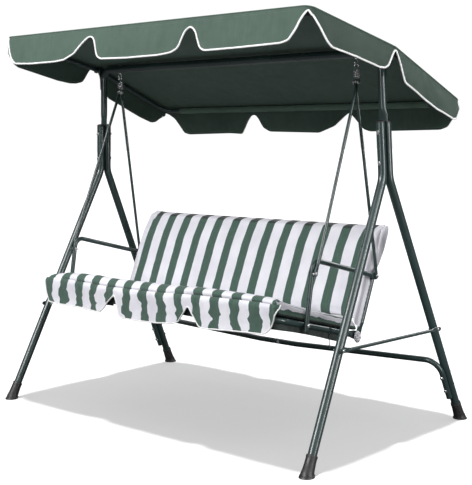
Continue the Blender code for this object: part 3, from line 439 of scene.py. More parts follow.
def striped_cloth(name, first, pitch, share, wobble, cut=None):
    """Woven cotton with green stripes across X: the first stripe's middle, the pitch and the green's share of it.
    wobble makes the stripes wander below the seat's front seam. cut is "seat", "back" or None."""
    g = Graph(name)
    _, parts = g.place()
    sway = g.sub(g.noise(19.0, 1.5, stretch=(1.0, 0.3, 1.1)), 0.5)
    strength = 0.006
    if wobble:
        below = g.sub(SEAM_Z + 0.006, parts[2])
        strength = g.mad(g.math("DIVIDE", below, 0.05, clamp=True), wobble, 0.008)
    x = g.math("ADD", parts[0], g.mul(sway, strength))
    if wobble:
        leaning = g.mul(g.math("LESS_THAN", parts[0], -0.17), 0.016)
        x = g.mad(g.math("DIVIDE", below, 0.1, clamp=True), leaning, x)
    turn = g.mul(g.sub(x, first), 2 * math.pi / pitch)
    wave = g.sub(g.math("COSINE", turn), math.cos(math.pi * share))
    mask = g.mad(wave, STRIPE_EDGE, 0.5, clamp=True)
    if cut == "seat":
        above = seat_height(g, parts)
        mask = side_bands(g, parts, above, mask)
    weave = g.weave(0.0014)
    grain = g.spread(g.noise(160.0, 3.0, stretch=(1.0, 0.3, 0.3)))
    cloud = g.spread(g.noise(9.0, 3.0))
    green = g.mix(g.mad(weave, 0.25, grain, clamp=True), (0.036, 0.082, 0.06), (0.066, 0.13, 0.1))
    white = g.mix(g.mad(weave, 0.25, cloud, clamp=True), (0.75, 0.74, 0.81), (0.88, 0.87, 0.93))
    colour = g.mix(mask, white, green)
    if cut == "seat":
        # Painted shade: the pad's lowest few millimetres, where it lies on the sling, turn a near-black green.
        under = g.mad(g.sub(CUSHION_LOW + 0.006, above), 900.0, 0.5, clamp=True)
        under = g.mul(under, g.math("GREATER_THAN", parts[1], SEAT_FRONT[0] - 0.012))
        colour = g.mix(under, colour, (0.014, 0.026, 0.021))
    if cut == "back":
        # Painted shade along the top of the hood's green stripes.
        colour = hood_top_painted_shade(g, parts, mask, colour)
    g.set(Base_Color=colour, Roughness=g.spread(grain, 0.74, 0.9))
    g.set(Sheen_Weight=0.2, Sheen_Roughness=0.5)
    g.bump([(g.noise(34.0, 3.0), 0.0022), (weave, 0.00022)])
    return g.material


def side_bands(g, parts, above, mask):
    """On the seat pad's sides, two green bands with a white one between take the place of the stripes."""
    height = g.mad(parts[1], SIDE_TAPER, SIDE_HEIGHT - CUSHION_LOW)
    level = g.math("DIVIDE", g.sub(above, CUSHION_LOW), height)
    uneven = g.mad(g.noise(20.0, 2.0, stretch=(0.0, 1.0, 0.0)), 0.5, 0.21)
    low_band = g.mad(g.sub(uneven, level), BAND_EDGE, 0.5, clamp=True)
    uneven = g.mad(g.noise(27.0, 2.0, stretch=(0.0, 1.0, 0.3)), 0.4, 0.67)
    top_band = g.mad(g.sub(level, uneven), BAND_EDGE, 0.5, clamp=True)
    facing = g.add("ShaderNodeSeparateXYZ", {0: g.add("ShaderNodeNewGeometry").outputs["Normal"]}).outputs[0]
    at_side = g.mul(g.math("GREATER_THAN", g.math("ABSOLUTE", facing), 0.5),
                    g.math("GREATER_THAN", parts[1], SEAT_FRONT[0] - 0.008))
    keep = g.mul(mask, g.sub(1.0, at_side))
    return g.mad(g.math("ADD", low_band, top_band), at_side, keep)


def seat_height(g, parts):
    """How far a shaded point lies above the seat's plane."""
    above = g.mul(g.sub(parts[1], SEAT_FRONT[0]), math.sin(SEAT_SLOPE))
    return g.mad(g.sub(parts[2], SEAT_FRONT[1]), math.cos(SEAT_SLOPE), above)


def hood_top_painted_shade(g, parts, mask, colour):
    """Paints shade on the green stripes along the top of the back cushion's hood: a darker green where the canopy's
    shade falls.
    """
    origin = back_point(0, BACK_LENGTH + 0.003, 0)
    way = (back_point(0, 1, 0) - back_point(0, 0, 0)).normalized()
    height = g.mad(g.sub(parts[2], origin.z), way.z, g.mul(g.sub(parts[1], origin.y), way.y))
    shade = g.mul(g.mad(height, 180.0, 0.3, clamp=True), mask)
    return g.mix(g.mul(shade, 0.85), colour, (0.008, 0.014, 0.013))


def tape():
    """White bias binding: fine ribs and a soft sheen."""
    g = Graph("white_binding")
    weave = g.weave(0.0009)
    tone = g.spread(g.noise(60.0, 3.0))
    g.set(Base_Color=g.mix(tone, (0.8, 0.8, 0.8), (0.93, 0.93, 0.93)), Roughness=0.7)
    g.set(Sheen_Weight=0.3)
    g.bump([(g.noise(300.0, 2.0), 0.0003), (weave, 0.00012)])
    return g.material


def mesh_cloth():
    """The sling: coarse coated mesh in black and dark green."""
    g = Graph("sling_mesh")
    weave = g.weave(0.0024)
    tone = g.spread(g.noise(45.0, 3.0, stretch=(0.2, 1.0, 1.0)))
    thread = g.mad(weave, 0.5, tone, clamp=True)
    colour = g.mix(thread, (0.005, 0.008, 0.007), (0.02, 0.033, 0.028))
    hem = g.add("ShaderNodeAttribute", attribute_name="hem").outputs["Fac"]
    off = g.math("ABSOLUTE", g.sub(hem, 0.022))
    line = g.math("LESS_THAN", off, 0.0012)
    g.set(Base_Color=g.mix(g.mul(line, 0.5), colour, (0.09, 0.12, 0.1)), Roughness=0.62)
    g.bump([(g.noise(12.0, 2.0), 0.002), (weave, 0.0005)])
    return g.material


PAINT = paint()
ZINC = metal("bright_zinc", (0.78, 0.79, 0.8), 0.16, 0.34)
SPRING_STEEL = metal("spring_steel", (0.82, 0.83, 0.84), 0.1, 0.24)
PLASTIC = plain("moulded_black_plastic", (90.0, 3.0), ((0.008, 0.008, 0.009), (0.018, 0.018, 0.019)),
                (40.0, 2.0, 0.38, 0.58), (1600.0, 2.0, 0.00006))
CANOPY = canopy_cloth("canopy_polyester", (0.053, 0.093, 0.07), (0.075, 0.126, 0.097))
SEAT_STRIPES = striped_cloth("striped_seat_cotton", -0.5815, 0.0946, 0.5, 0.05, "seat")
SKIRT_STRIPES = striped_cloth("striped_skirt_cotton", -0.5865, 0.0946, 0.5, 0.06)
BACK_STRIPES = striped_cloth("striped_back_cotton", -0.561, 0.0961, 0.45, 0.0, "back")
TAPE = tape()
# The bow's tone wanders from white to dark grey at the scale of its creases: painted shade in the crumpled cloth.
CRUMPLED_SHADED = plain("crumpled_tie", (230.0, 3.0), ((0.12, 0.12, 0.14), (0.8, 0.79, 0.84)), 0.75, (240.0, 3.0, 0.0012))
# The tie cord's near-black colour is painted shade: the cord is coloured dark because it hangs in shade.
SHADED_CORD = plain("dark_cord", (400.0, 2.0), ((0.016, 0.014, 0.016), (0.045, 0.04, 0.045)), 0.8, (900.0, 1.0, 0.0002))
SLING = mesh_cloth()


# ---------------------------------------------------------------- mesh tools


def add_piece(name, bm, material, node=None, body=None, sharp=0):
    """Makes a piece from bm. It stands for a CAD node and rides on its body, or on the body given."""
    bmesh.ops.recalc_face_normals(bm, faces=bm.faces[:])
    mesh = bpy.data.meshes.new(name)
    bm.to_mesh(mesh)
    bm.free()
    mesh.shade_smooth()
    if sharp:
        mesh.set_sharp_from_angle(angle=math.radians(sharp))
    mesh.materials.append(material)
    obj = bpy.data.objects.new(name, mesh)
    bpy.context.scene.collection.objects.link(obj)
    if node:
        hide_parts(node)
        body = body or frame["nodes"][node]["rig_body"]
    if body:
        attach(obj, body)
    return obj


def swing(first, second, angle):
    """first turned by an angle towards second."""
    return first * math.cos(angle) + second * math.sin(angle)


def run_lengths(path):
    """How far along the polyline each of its points is."""
    lengths = [0.0]
    for a, b in zip(path, path[1:]):
        lengths.append(lengths[-1] + (b - a).length)
    return lengths


def ellipse(centre, wide_axis, thin_axis, wide, thin, count):
    turn = 2 * math.pi / count
    return [
        centre + wide_axis * (wide * math.cos(turn * i)) + thin_axis * (thin * math.sin(turn * i))
        for i in range(count)
    ]


def lofted(rings, closed=False, bm=None):
    """Skins equal rings. A closed loft joins its last ring to its first; an open one gets two caps."""
    bm = bmesh.new() if bm is None else bm
    rows = [[bm.verts.new(point) for point in ring] for ring in rings]
    pairs = list(zip(rows, rows[1:]))
    if closed:
        pairs.append((rows[-1], rows[0]))
    for low, high in pairs:
        for i in range(len(low)):
            j = (i + 1) % len(low)
            bm.faces.new((low[i], low[j], high[j], high[i]))
    if not closed:
        bm.faces.new(rows[0])
        bm.faces.new(rows[-1])
    return bm


def arc(centre, first, last, steps):
    sweep = first.angle(last)
    points = []
    for i in range(steps + 1):
        part = i / steps
        before = math.sin(sweep * (1 - part)) / math.sin(sweep)
        after = math.sin(sweep * part) / math.sin(sweep)
        points.append(centre + first * before + last * after)
    return points


def rounded_path(points, radius, steps=20):
    """The polyline with each inner corner turned into an arc. steps is for a quarter turn."""
    points = [Vector(point) for point in points]
    path = [points[0]]
    for before, corner, after in zip(points, points[1:], points[2:]):
        inward = (before - corner).normalized()
        outward = (after - corner).normalized()
        half = inward.angle(outward) / 2
        reach = radius / math.tan(half)
        centre = corner + (inward + outward).normalized() * (radius / math.sin(half))
        first = corner + inward * reach - centre
        last = corner + outward * reach - centre
        path += arc(centre, first, last, max(2, math.ceil(steps * first.angle(last) * 2 / math.pi)))
    path.append(points[-1])
    return path


TIP = 0.01  # the rounded end of a pressed tube
STEP = 0.008  # the slope where a tube is drawn thinner
EDGE = 0.0004
WALL = 0.0016
BORE_DEPTH = 0.012


def add_tube(node, path, radius, thin=None, wide=None, flats=(0, 0), blade=BLADE_T, taper=0.02, swage=None,
             open_ends=(True, True), count=28):
    """A bent tube. Its ends may be pressed flat over a length, thin along one way or wide along another. swage is
    the length and radius of an end drawn thinner."""
    lengths = run_lengths(path)
    total = lengths[-1]
    extra = []
    for flat, mirrored in zip(flats, (False, True)):
        if flat:
            near = [0.001, 0.0025, 0.0045, 0.007, TIP, flat]
            near += [flat + taper * i / 8 for i in range(1, 9)]
            extra += [total - place if mirrored else place for place in near]
    if swage:
        extra += [total - swage[0] - part * STEP for part in (1, 0.5, 0)]
    stations = dict(zip(lengths, path))
    for place in extra:
        for a, b, start, end in zip(path, path[1:], lengths, lengths[1:]):
            if start + EDGE < place < end - EDGE:
                stations[place] = a.lerp(b, (place - start) / (end - start))
    places = sorted(stations)
    points = [stations[place] for place in places]

    def ring(i, inset=0.0, push=0.0):
        point, place = points[i], places[i]
        into = (point - points[i - 1]).normalized() if i else Vector()
        out = (points[i + 1] - point).normalized() if i + 1 < len(points) else Vector()
        tangent = (into + out).normalized()
        if wide:
            wide_axis = wide
            thin_axis = tangent.cross(wide)
        else:
            way = thin or tangent.orthogonal()
            thin_axis = (way - tangent * way.dot(tangent)).normalized()
            wide_axis = thin_axis.cross(tangent)
        share = 0.0
        tip = 1.0
        for flat, distance in zip(flats, (place, total - place)):
            if flat:
                share = max(share, smooth((flat + taper - distance) / taper))
                if distance < TIP:
                    tip = min(tip, math.sqrt(1 - 0.75 * (1 - distance / TIP) ** 2))
        full = radius
        if swage:
            full = swage[1] + (radius - swage[1]) * smooth((total - swage[0] - place) / STEP)
        wide_r = full * (1 + 0.42 * share) * tip
        thin_r = full + (blade - full) * share
        centre = point + tangent * push
        return ellipse(centre, wide_axis, thin_axis, wide_r - inset, thin_r - inset, count)

    rings = [ring(i) for i in range(len(points))]
    if open_ends[0] and not flats[0]:
        rings[0] = ring(0, 0, EDGE)
        rings = [ring(0, WALL, BORE_DEPTH), ring(0, WALL), ring(0, EDGE)] + rings
    if open_ends[1] and not flats[1]:
        last = len(points) - 1
        rings[-1] = ring(last, 0, -EDGE)
        rings += [ring(last, EDGE), ring(last, WALL), ring(last, WALL, -BORE_DEPTH)]
    return add_piece(f"{node}_tube", lofted(rings), PAINT, node, sharp=40)


def turned(base, axis, profile, count=28, hexagons=(), lobes=None):
    """Rings turned from (radius, distance along the axis). Those in hexagons are six-sided, those in lobes wavy."""
    axis = Vector(axis).normalized()
    across = axis.orthogonal().normalized()
    other = axis.cross(across)
    rings = []
    for i, (radius, distance) in enumerate(profile):
        ring = []
        for k in range(count):
            angle = 2 * math.pi * k / count
            reach = radius
            if i in hexagons:
                reach *= math.cos(math.pi / 6) / math.cos(angle % (math.pi / 3) - math.pi / 6) * 1.04
            if lobes and i in lobes[0]:
                reach *= 1 + lobes[2] * (math.cos(lobes[1] * angle) - 1)
            ring.append(Vector(base) + axis * distance + swing(across, other, angle) * reach)
        rings.append(ring)
    return rings


def add_bolt(name, base, axis, grip, radius=0.003, collar=None, body=None):
    """A flanged hexagon bolt with its head at base, and a nut past its grip. It stands for the CAD node of that name
    unless a body is given. collar is a spacer's (start, end)."""
    head = radius * 2.1
    flange = radius * 2.45
    profile = [(radius * 0.9, -radius * 1.32), (head * 0.86, -radius * 1.3), (head, -radius * 1.12),
               (head, -radius * 0.45), (flange, -radius * 0.4), (flange, -radius * 0.12), (flange * 0.97, 0),
               (radius, 0)]
    if collar:
        start, end = collar
        profile += [(radius, start), (head, start), (head, end), (radius, end)]
    nut = len(profile) + 3
    profile += [(radius, grip), (flange, grip), (flange, grip + radius * 0.28), (head, grip + radius * 0.3),
                (head, grip + radius * 1.35), (head * 0.84, grip + radius * 1.55),
                (radius * 0.95, grip + radius * 1.56), (radius * 0.95, grip + radius * 1.9),
                (radius * 0.7, grip + radius * 2.05)]
    bm = lofted(turned(base, axis, profile, 24, (1, 2, 3, nut, nut + 1, nut + 2)))
    if body:
        return add_piece(name, bm, ZINC, body=body, sharp=30)
    return add_piece(f"{name}_hex", bm, ZINC, name, sharp=30)


def wire(path, radius, count=8, closed=False):
    """Rings along a curve, turned as little as possible from one to the next."""
    side = (path[1] - path[0]).orthogonal().normalized()
    rings = []
    size = len(path)
    for i, point in enumerate(path):
        before = path[(i - 1) % size] if closed else path[max(i - 1, 0)]
        after = path[(i + 1) % size] if closed else path[min(i + 1, size - 1)]
        tangent = (after - before).normalized()
        side = (side - tangent * side.dot(tangent)).normalized()
        rings.append(ellipse(point, side, tangent.cross(side), radius, radius, count))
    return rings


def add_bead(name, path, radius, material, body, closed=False):
    return add_piece(name, lofted(wire(path, radius, closed=closed), closed), material, body=body)


def bezier(start, start_way, end, end_way, reach, steps):
    a = start + start_way.normalized() * reach
    b = end - end_way.normalized() * reach
    points = []
    for i in range(1, steps):
        t = i / steps
        s = 1 - t
        points.append(start * s**3 + a * (3 * s * s * t) + b * (3 * s * t * t) + end * t**3)
    return points


def waver(value, seed, scale=1.0):
    """A smooth repeatable wander between about -1 and 1."""
    return noise.noise(Vector((value * scale, seed * 7.31, seed * 1.7))) * 1.6


# ---------------------------------------------------------------- stand


def build_stand():
    reach = 2 * LEG_R + BLADE_HALF + BOLT_GAP
    for side, sign in SIDES:
        normal = frame_normal(sign)
        for place, end in ENDS:
            foot, bend, top = leg_points(end, sign)
            start = foot + (bend - foot).normalized() * LEG_START
            path = rounded_path((start, bend, top), LEG_BEND_R, 40)
            node = f"{place}_leg_{side}"
            add_tube(node, path, LEG_R, thin=normal, open_ends=(False, False), count=32)
            add_foot_cap(f"foot_cap_{place}_{side}", foot, bend)
            add_plug(place, side, top, top - bend)
        foot = on_side((frame_x(BLADE_FOOT_Z), MID_Y, BLADE_FOOT_Z), sign)
        corner = on_side((frame_x(BEAM_Z), MID_Y, BEAM_Z), sign)
        stub = on_side((UPRIGHT_END_X, MID_Y, BEAM_Z), sign)
        path = rounded_path((foot, corner, stub), UPRIGHT_BEND_R, 28)
        add_tube(f"upright_{side}", path, UPRIGHT_R, thin=Y_AXIS, flats=(BLADE_TOP_Z - BLADE_FOOT_Z, 0),
                 blade=BLADE_HALF, taper=0.045, count=32)
        add_lug(side, sign)
        for z, place in zip(LEG_BOLT_Z, ("lower", "upper")):
            base = on_side((frame_x(z), MID_Y - reach, z), sign)
            add_bolt(f"leg_bolt_{place}_{side}", base, Y_AXIS, 2 * reach)
    path = [Vector((sign * BEAM_HALF, MID_Y, BEAM_Z)) for sign in (-1, 1)]
    add_tube("top_beam", path, BEAM_R, thin=Y_AXIS, count=40)
    build_side_braces()
    build_rear_brace()
    build_eye_bolts()


def add_foot_cap(name, foot, bend):
    """A ribbed sleeve round the foot of the leg, flared to a flat round sole."""
    axis = (bend - foot).normalized()
    side = (X_AXIS - axis * axis.x).normalized()
    across = side.cross(axis)
    count = 48
    rings = [ellipse(foot, X_AXIS, -Y_AXIS, SOLE_R - 0.001, SOLE_R - 0.001, count)]
    for z, radius in ((0.0006, SOLE_R), (0.0055, SOLE_R), (0.0068, SOLE_R - 0.0008), (0.0075, SOLE_R - 0.002)):
        rings.append(ellipse(foot + axis * (z / axis.z), X_AXIS, -Y_AXIS, radius, radius, count))
    shape = [(0.013, 0.0232), (0.018, 0.0218), (0.023, 0.0211), (0.035, 0.0202), (0.05, 0.0194), (0.0655, 0.0191),
             (0.066, 0.0198), (0.0725, 0.0197), (0.0745, 0.019), (0.075, 0.018), (0.075, LEG_R + 0.0003),
             (0.07, LEG_R + 0.0003)]
    for distance, radius in shape:
        rings.append(ellipse(foot + axis * distance, side, across, radius, radius, count))
    add_piece(f"{name}_moulded", lofted(rings), PLASTIC, name, sharp=35)


def add_plug(place, side, top, way):
    """A domed end plug on a leg's top."""
    rim = LEG_R + 0.0004
    profile = [(LEG_R - 0.002, -0.002), (LEG_R + 0.0001, 0.0001), (rim, 0.0008), (rim, 0.0025)]
    for i in range(1, 8):
        angle = math.pi / 2 * i / 8
        profile.append((rim * math.cos(angle), 0.0025 + 0.0065 * math.sin(angle)))
    node = f"leg_plug_{side}" if place == "front" else None
    bm = lofted(turned(top, way, profile, 36))
    add_piece(f"{place}_leg_plug_{side}_dome", bm, PLASTIC, node, "stand", sharp=35)


def add_lug(side, sign):
    """The welded plate and boss that the canopy turns on, with the weld bead round the boss."""
    outline = [(-LUG_HALF, LUG_FOOT_Z), (LUG_HALF, LUG_FOOT_Z)]
    for i in range(17):
        angle = math.pi * i / 16
        outline.append((LUG_HALF * math.cos(angle), BEAM_Z + LUG_HALF * math.sin(angle)))
    bm = lofted([[on_side((x, MID_Y + y, z), sign) for y, z in outline] for x in LUG_X])
    edges = [edge for edge in bm.edges if abs(edge.verts[0].co.x - edge.verts[1].co.x) < 1e-6]
    bmesh.ops.bevel(bm, geom=edges, offset=0.0006, segments=2, affect="EDGES")
    add_piece(f"canopy_lug_{side}_plate", bm, PAINT, body="stand", sharp=35)
    base = on_side((LUG_X[1], MID_Y, BEAM_Z), sign)
    profile = [(0.0118, -0.001), (0.0117, 0.0008), (0.0104, 0.0018), (0.01, 0.0028), (0.01, 0.0122), (0.0094, 0.013)]
    bm = lofted(turned(base, X_AXIS * sign, profile, 32))
    add_piece(f"canopy_lug_{side}_boss", bm, PAINT, body="stand", sharp=35)


def build_side_braces():
    for side, sign in SIDES:
        normal = frame_normal(sign)
        out = normal * (LEG_R + BLADE_T + BOLT_GAP)
        front, rear = (leg_at(end, sign, z) + out for end, z in zip((-1, 1), SIDE_BRACE_Z))
        overhang = (rear - front).normalized() * 0.02
        path = [front - overhang, rear + overhang]
        add_tube(f"side_brace_{side}", path, SIDE_BRACE_R, thin=normal, flats=(SIDE_BRACE_FLAT,) * 2, count=24)
        for place, point in (("front", front), ("rear", rear)):
            grip = 2 * (LEG_R + BLADE_T) + BOLT_GAP
            add_bolt(f"side_brace_bolt_{place}_{side}", point + normal * BLADE_T, -normal, grip, 0.0026, body="stand")


def build_rear_brace():
    for side, sign in SIDES:
        way = rear_brace_way(sign)
        offset = way * (LEG_R + REAR_BRACE_R + BOLT_GAP)
        foot = leg_at(1, sign, REAR_BRACE_FOOT_Z) + offset
        corner = leg_at(1, sign, REAR_BRACE_Z) + offset
        low_z = corner.z - REAR_BRACE_SAG
        knee = Vector((sign * REAR_BRACE_KNEE_X, corner.y, low_z))
        end = Vector((REAR_BRACE_END_X[side], corner.y, low_z))
        path = rounded_path((foot, corner, knee, end), REAR_BRACE_BEND_R, 24)
        swage = REAR_BRACE_SWAGE if side == "left" else None
        add_tube(f"rear_brace_{side}", path, REAR_BRACE_R, thin=Y_AXIS, swage=swage)
        for z, place in zip(REAR_BRACE_BOLT_Z, ("lower", "upper")):
            base = leg_at(1, sign, z) + offset + way * REAR_BRACE_R
            add_bolt(f"rear_brace_bolt_{place}_{side}", base, -way, 2 * (LEG_R + REAR_BRACE_R) + BOLT_GAP)
    base = Vector((0.01, corner.y - REAR_BRACE_R, low_z))
    add_bolt("rear_brace_joint_bolt", base, Y_AXIS, 2 * REAR_BRACE_R)


def build_eye_bolts():
    for side, sign in SIDES:
        centre = on_side((SPRING_X, MID_Y, EYE_Z), sign)
        ring = [centre + swing(Y_AXIS, Z_AXIS, 2 * math.pi * i / 48) * EYE_R for i in range(48)]
        bm = lofted(wire(ring, EYE_WIRE_R, 14, closed=True), closed=True)
        under = BEAM_Z - BEAM_R - EYE_Z
        over = BEAM_Z + BEAM_R - EYE_Z + BOLT_GAP
        profile = [(0.0024, EYE_R), (0.003, under - 0.0035), (0.0068, under - 0.0035), (0.007, under - 0.003),
                   (0.007, under - 0.0009), (0.0066, under - 0.0005), (0.003, under - 0.0005), (0.003, over),
                   (0.0062, over), (0.0062, over + 0.0018), (0.0052, over + 0.0026), (0.003, over + 0.0027),
                   (0.003, over + 0.0034), (0.0022, over + 0.0038)]
        lofted(turned(centre, Z_AXIS, profile, 24, (8, 9, 10)), bm=bm)
        add_piece(f"eye_bolt_{side}_ring", bm, ZINC, f"eye_bolt_{side}", sharp=30)


# ---------------------------------------------------------------- springs and hanger rods


def spring_path(centre):
    """A loop across X, the coil, and a loop across Y, as one wire."""
    start = math.radians(-30)
    end = start + COIL_TURNS * 2 * math.pi
    top = Vector((centre.x, centre.y, TOP_LOOP_Z))
    low = Vector((centre.x, centre.y, LOW_LOOP_Z))

    def loop(middle_of, across, degrees):
        return middle_of + swing(across, Z_AXIS, math.radians(degrees)) * LOOP_R

    def loop_way(across, degrees):
        return swing(Z_AXIS, -across, math.radians(degrees))

    def coil(angle):
        level = COIL_TOP_Z - (angle - start) / (2 * math.pi) * COIL_PITCH
        return Vector((centre.x + COIL_R * math.cos(angle), centre.y + COIL_R * math.sin(angle), level))

    def coil_way(angle):
        return swing(Y_AXIS, -X_AXIS, angle) - Z_AXIS * 0.1

    path = [loop(top, X_AXIS, degrees) for degrees in range(-40, 231, 6)]
    path += bezier(path[-1], loop_way(X_AXIS, 230), coil(start), coil_way(start), 0.006, 8)
    steps = round(COIL_TURNS * 36)
    path += [coil(start + (end - start) * i / steps) for i in range(steps + 1)]
    path += bezier(path[-1], coil_way(end), loop(low, Y_AXIS, 130), loop_way(Y_AXIS, 130), 0.006, 8)
    return path + [loop(low, Y_AXIS, degrees) for degrees in range(130, 391, 6)]


def rod_foot(place, sign):
    if place == "front":
        return on_side(post_at(ARM_X + ARM_R + ROD_STANDOFF, FRONT_ROD_Z), sign)
    return on_side(back_height(ARM_X + 2 * BLADE_T + BOLT_GAP, REAR_ROD_Z), sign)


def build_hangers():
    for side, sign in SIDES:
        pivot = on_side((SPRING_X, MID_Y, SWING_Z), sign)
        bm = lofted(wire(spring_path(pivot), WIRE_R, 14))
        spring = add_piece(f"spring_{side}_coil", bm, SPRING_STEEL, sharp=50)
        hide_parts(f"spring_{side}")
        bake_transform(spring)
        hang = hang_pivot(sign)
        reach = ROD_SPREAD + BLADE_T
        add_bolt(f"hanger_bolt_{side}", hang + X_AXIS * (sign * reach), -X_AXIS * sign, 2 * reach, 0.004)
        for place, spread in (("front", ROD_SPREAD), ("rear", -ROD_SPREAD)):
            top = hang + X_AXIS * (sign * spread)
            foot = rod_foot(place, sign)
            overhang = (foot - top).normalized() * ROD_OVERHANG
            add_tube(f"hanger_rod_{place}_{side}", [top - overhang, foot + overhang], ROD_R, thin=X_AXIS,
                     flats=(ROD_FLAT, ROD_FLAT), count=24)


# ---------------------------------------------------------------- bench frame


def build_bench_frame():
    for node, place, half, near, far in (("seat_frame", seat_point, SEAT_RAIL_X, 0, SEAT_LENGTH + RAIL_BEYOND),
                                         ("back_frame", back_point, BACK_RAIL_X, BACK_LENGTH, -RAIL_BEYOND)):
        points = [place(x, y, 0) for x, y in ((-half, far), (-half, near), (half, near), (half, far))]
        square = (points[1] - points[0]).normalized().cross(X_AXIS).normalized()
        add_tube(node, rounded_path(points, RAIL_BEND_R, 24), RAIL_R, wide=square, flats=(0.034, 0.034), blade=0.0022,
                 taper=0.03)
    corner = back_point(0, 0, 0)
    add_tube("seat_rear_rail", [corner + X_AXIS * (sign * REAR_RAIL_HALF) for sign in (-1, 1)], RAIL_R, thin=Z_AXIS)
    for side, sign in SIDES:
        outside = BACK_RAIL_X + 0.0022
        base = corner + X_AXIS * (sign * outside)
        add_bolt(f"corner_bolt_{side}", base, -X_AXIS * sign, outside - REAR_RAIL_HALF + 0.008)
        build_armrest(side, sign)


def build_armrest(side, sign):
    rear_y = back_height(0, REAR_ROD_Z).y + 0.012
    points = [on_side(point, sign) for point in (
        (ARM_X, rear_y, arm_height(rear_y)), (ARM_X, ARM_FRONT_Y, arm_height(ARM_FRONT_Y)), (ARM_X, *POST_FOOT))]
    add_tube(f"armrest_{side}", rounded_path(points, ARM_BEND_R, 28), ARM_R, thin=X_AXIS, flats=(0.03, 0))
    inward = -X_AXIS * sign
    front = rod_foot("front", sign) - inward * BLADE_T
    grip = abs(front.x) - ARM_X + ARM_R
    add_bolt(f"rod_bolt_front_{side}", front, inward, grip, collar=(0.0043, grip - 2 * ARM_R - BOLT_GAP))
    rear = rod_foot("rear", sign) - inward * BLADE_T
    grip = abs(rear.x) - BACK_RAIL_X + RAIL_R
    collar = (abs(rear.x) - ARM_X + 0.0023, grip - 2 * RAIL_R - BOLT_GAP)
    add_bolt(f"rod_bolt_rear_{side}", rear, inward, grip, collar=collar)
    post = on_side(post_at(ARM_X + ARM_R, POST_BOLT_Z), sign)
    add_bolt(f"post_bolt_{side}", post, inward, ARM_X + ARM_R - SEAT_RAIL_X + RAIL_R)


# ---------------------------------------------------------------- soft goods of the bench


def profile_frames(path):
    """Each point of a profile in the YZ plane with the way square to it."""
    frames = []
    for i, point in enumerate(path):
        before = path[max(i - 1, 0)]
        after = path[min(i + 1, len(path) - 1)]
        frames.append((point, (after - before).normalized().cross(X_AXIS)))
    return frames


def sheet_bm(rows, thickness, attributes=None, closed=False, centre=None):
    """A cloth sheet from rows of points, thickened. attributes maps a name to rows of numbers."""
    bm = bmesh.new()
    layers = {name: bm.verts.layers.float.new(name) for name in (attributes or {})}
    grid = []
    for r, row in enumerate(rows):
        verts = []
        for c, point in enumerate(row):
            vert = bm.verts.new(point)
            for name, layer in layers.items():
                vert[layer] = attributes[name][r][c]
            verts.append(vert)
        grid.append(verts)
    for low, high in zip(grid, grid[1:]):
        count = len(low)
        for i in range(count if closed else count - 1):
            j = (i + 1) % count
            bm.faces.new((low[i], low[j], high[j], high[i]))
    if centre is not None:
        hub = bm.verts.new((0, MID_Y, centre))
        for name, layer in layers.items():
            hub[layer] = attributes[name][0][0]
        for i, vert in enumerate(grid[0]):
            bm.faces.new((vert, grid[0][(i + 1) % len(grid[0])], hub))
    bmesh.ops.recalc_face_normals(bm, faces=bm.faces[:])
    bmesh.ops.solidify(bm, geom=bm.faces[:], thickness=thickness)
    return bm


def build_sling():
    """A mesh sheet wrapped round the front rail and the top rail, sagging a little between them."""
    low = seat_point(0, 0, 0)
    high = back_point(0, BACK_LENGTH, 0)
    seat_way = seat_point(0, 1, 0) - low
    seat_up = seat_point(0, 0, 1) - low
    back_way = back_point(0, 1, 0) - back_point(0, 0, 0)
    back_ahead = back_point(0, 0, 1) - back_point(0, 0, 0)
    up = (SLING_RISE - SLING_RISE * seat_up.dot(back_ahead)) / back_way.dot(seat_up)
    path = [seat_point(0, 0.03, -SLING_RISE), seat_point(0, 0.015, -SLING_RISE)]
    path += arc(low, -seat_up * SLING_RISE, -seat_way * SLING_RISE, 8)
    path += arc(low, -seat_way * SLING_RISE, seat_up * SLING_RISE, 8)[1:-1]
    span = rounded_path([seat_point(0, 0, SLING_RISE), back_point(0, up, SLING_RISE),
                         back_point(0, BACK_LENGTH, SLING_RISE)], 0.03, 12)
    for a, b in zip(span, span[1:]):
        steps = max(1, round((b - a).length / 0.016))
        path += [a.lerp(b, i / steps) for i in range(steps)]
    path += arc(high, back_ahead * SLING_RISE, back_way * SLING_RISE, 8)
    path += arc(high, back_way * SLING_RISE, -back_ahead * SLING_RISE, 8)[1:]
    path.append(back_point(0, BACK_LENGTH - 0.03, -SLING_RISE))
    frames = profile_frames(path)
    columns = 73
    rows, hem = [], []
    for point, square in frames:
        seat_share = (point - low).dot(seat_way) / SEAT_LENGTH
        back_share = (point - back_point(0, 0, 0)).dot(back_way) / BACK_LENGTH
        near = min((point - low).length, (point - high).length)
        dip = 0.0045 * smooth((near - 0.03) / 0.12)
        row, edge = [], []
        for i in range(columns):
            x = -SLING_X + 2 * SLING_X * i / (columns - 1)
            inner = 1 - (abs(x) / SLING_X) ** 4
            wander = waver(x, seat_share + back_share, 4.0) * 0.0012 * smooth((near - 0.03) / 0.1)
            row.append(point + X_AXIS * x + square * (dip * (0.35 + 0.65 * inner) + wander))
            edge.append(SLING_X - abs(x))
        rows.append(row)
        hem.append(edge)
    add_piece("seat_sling_mesh", sheet_bm(rows, SLING_T, {"hem": hem}), SLING, "seat_sling")
    build_sling_hem()


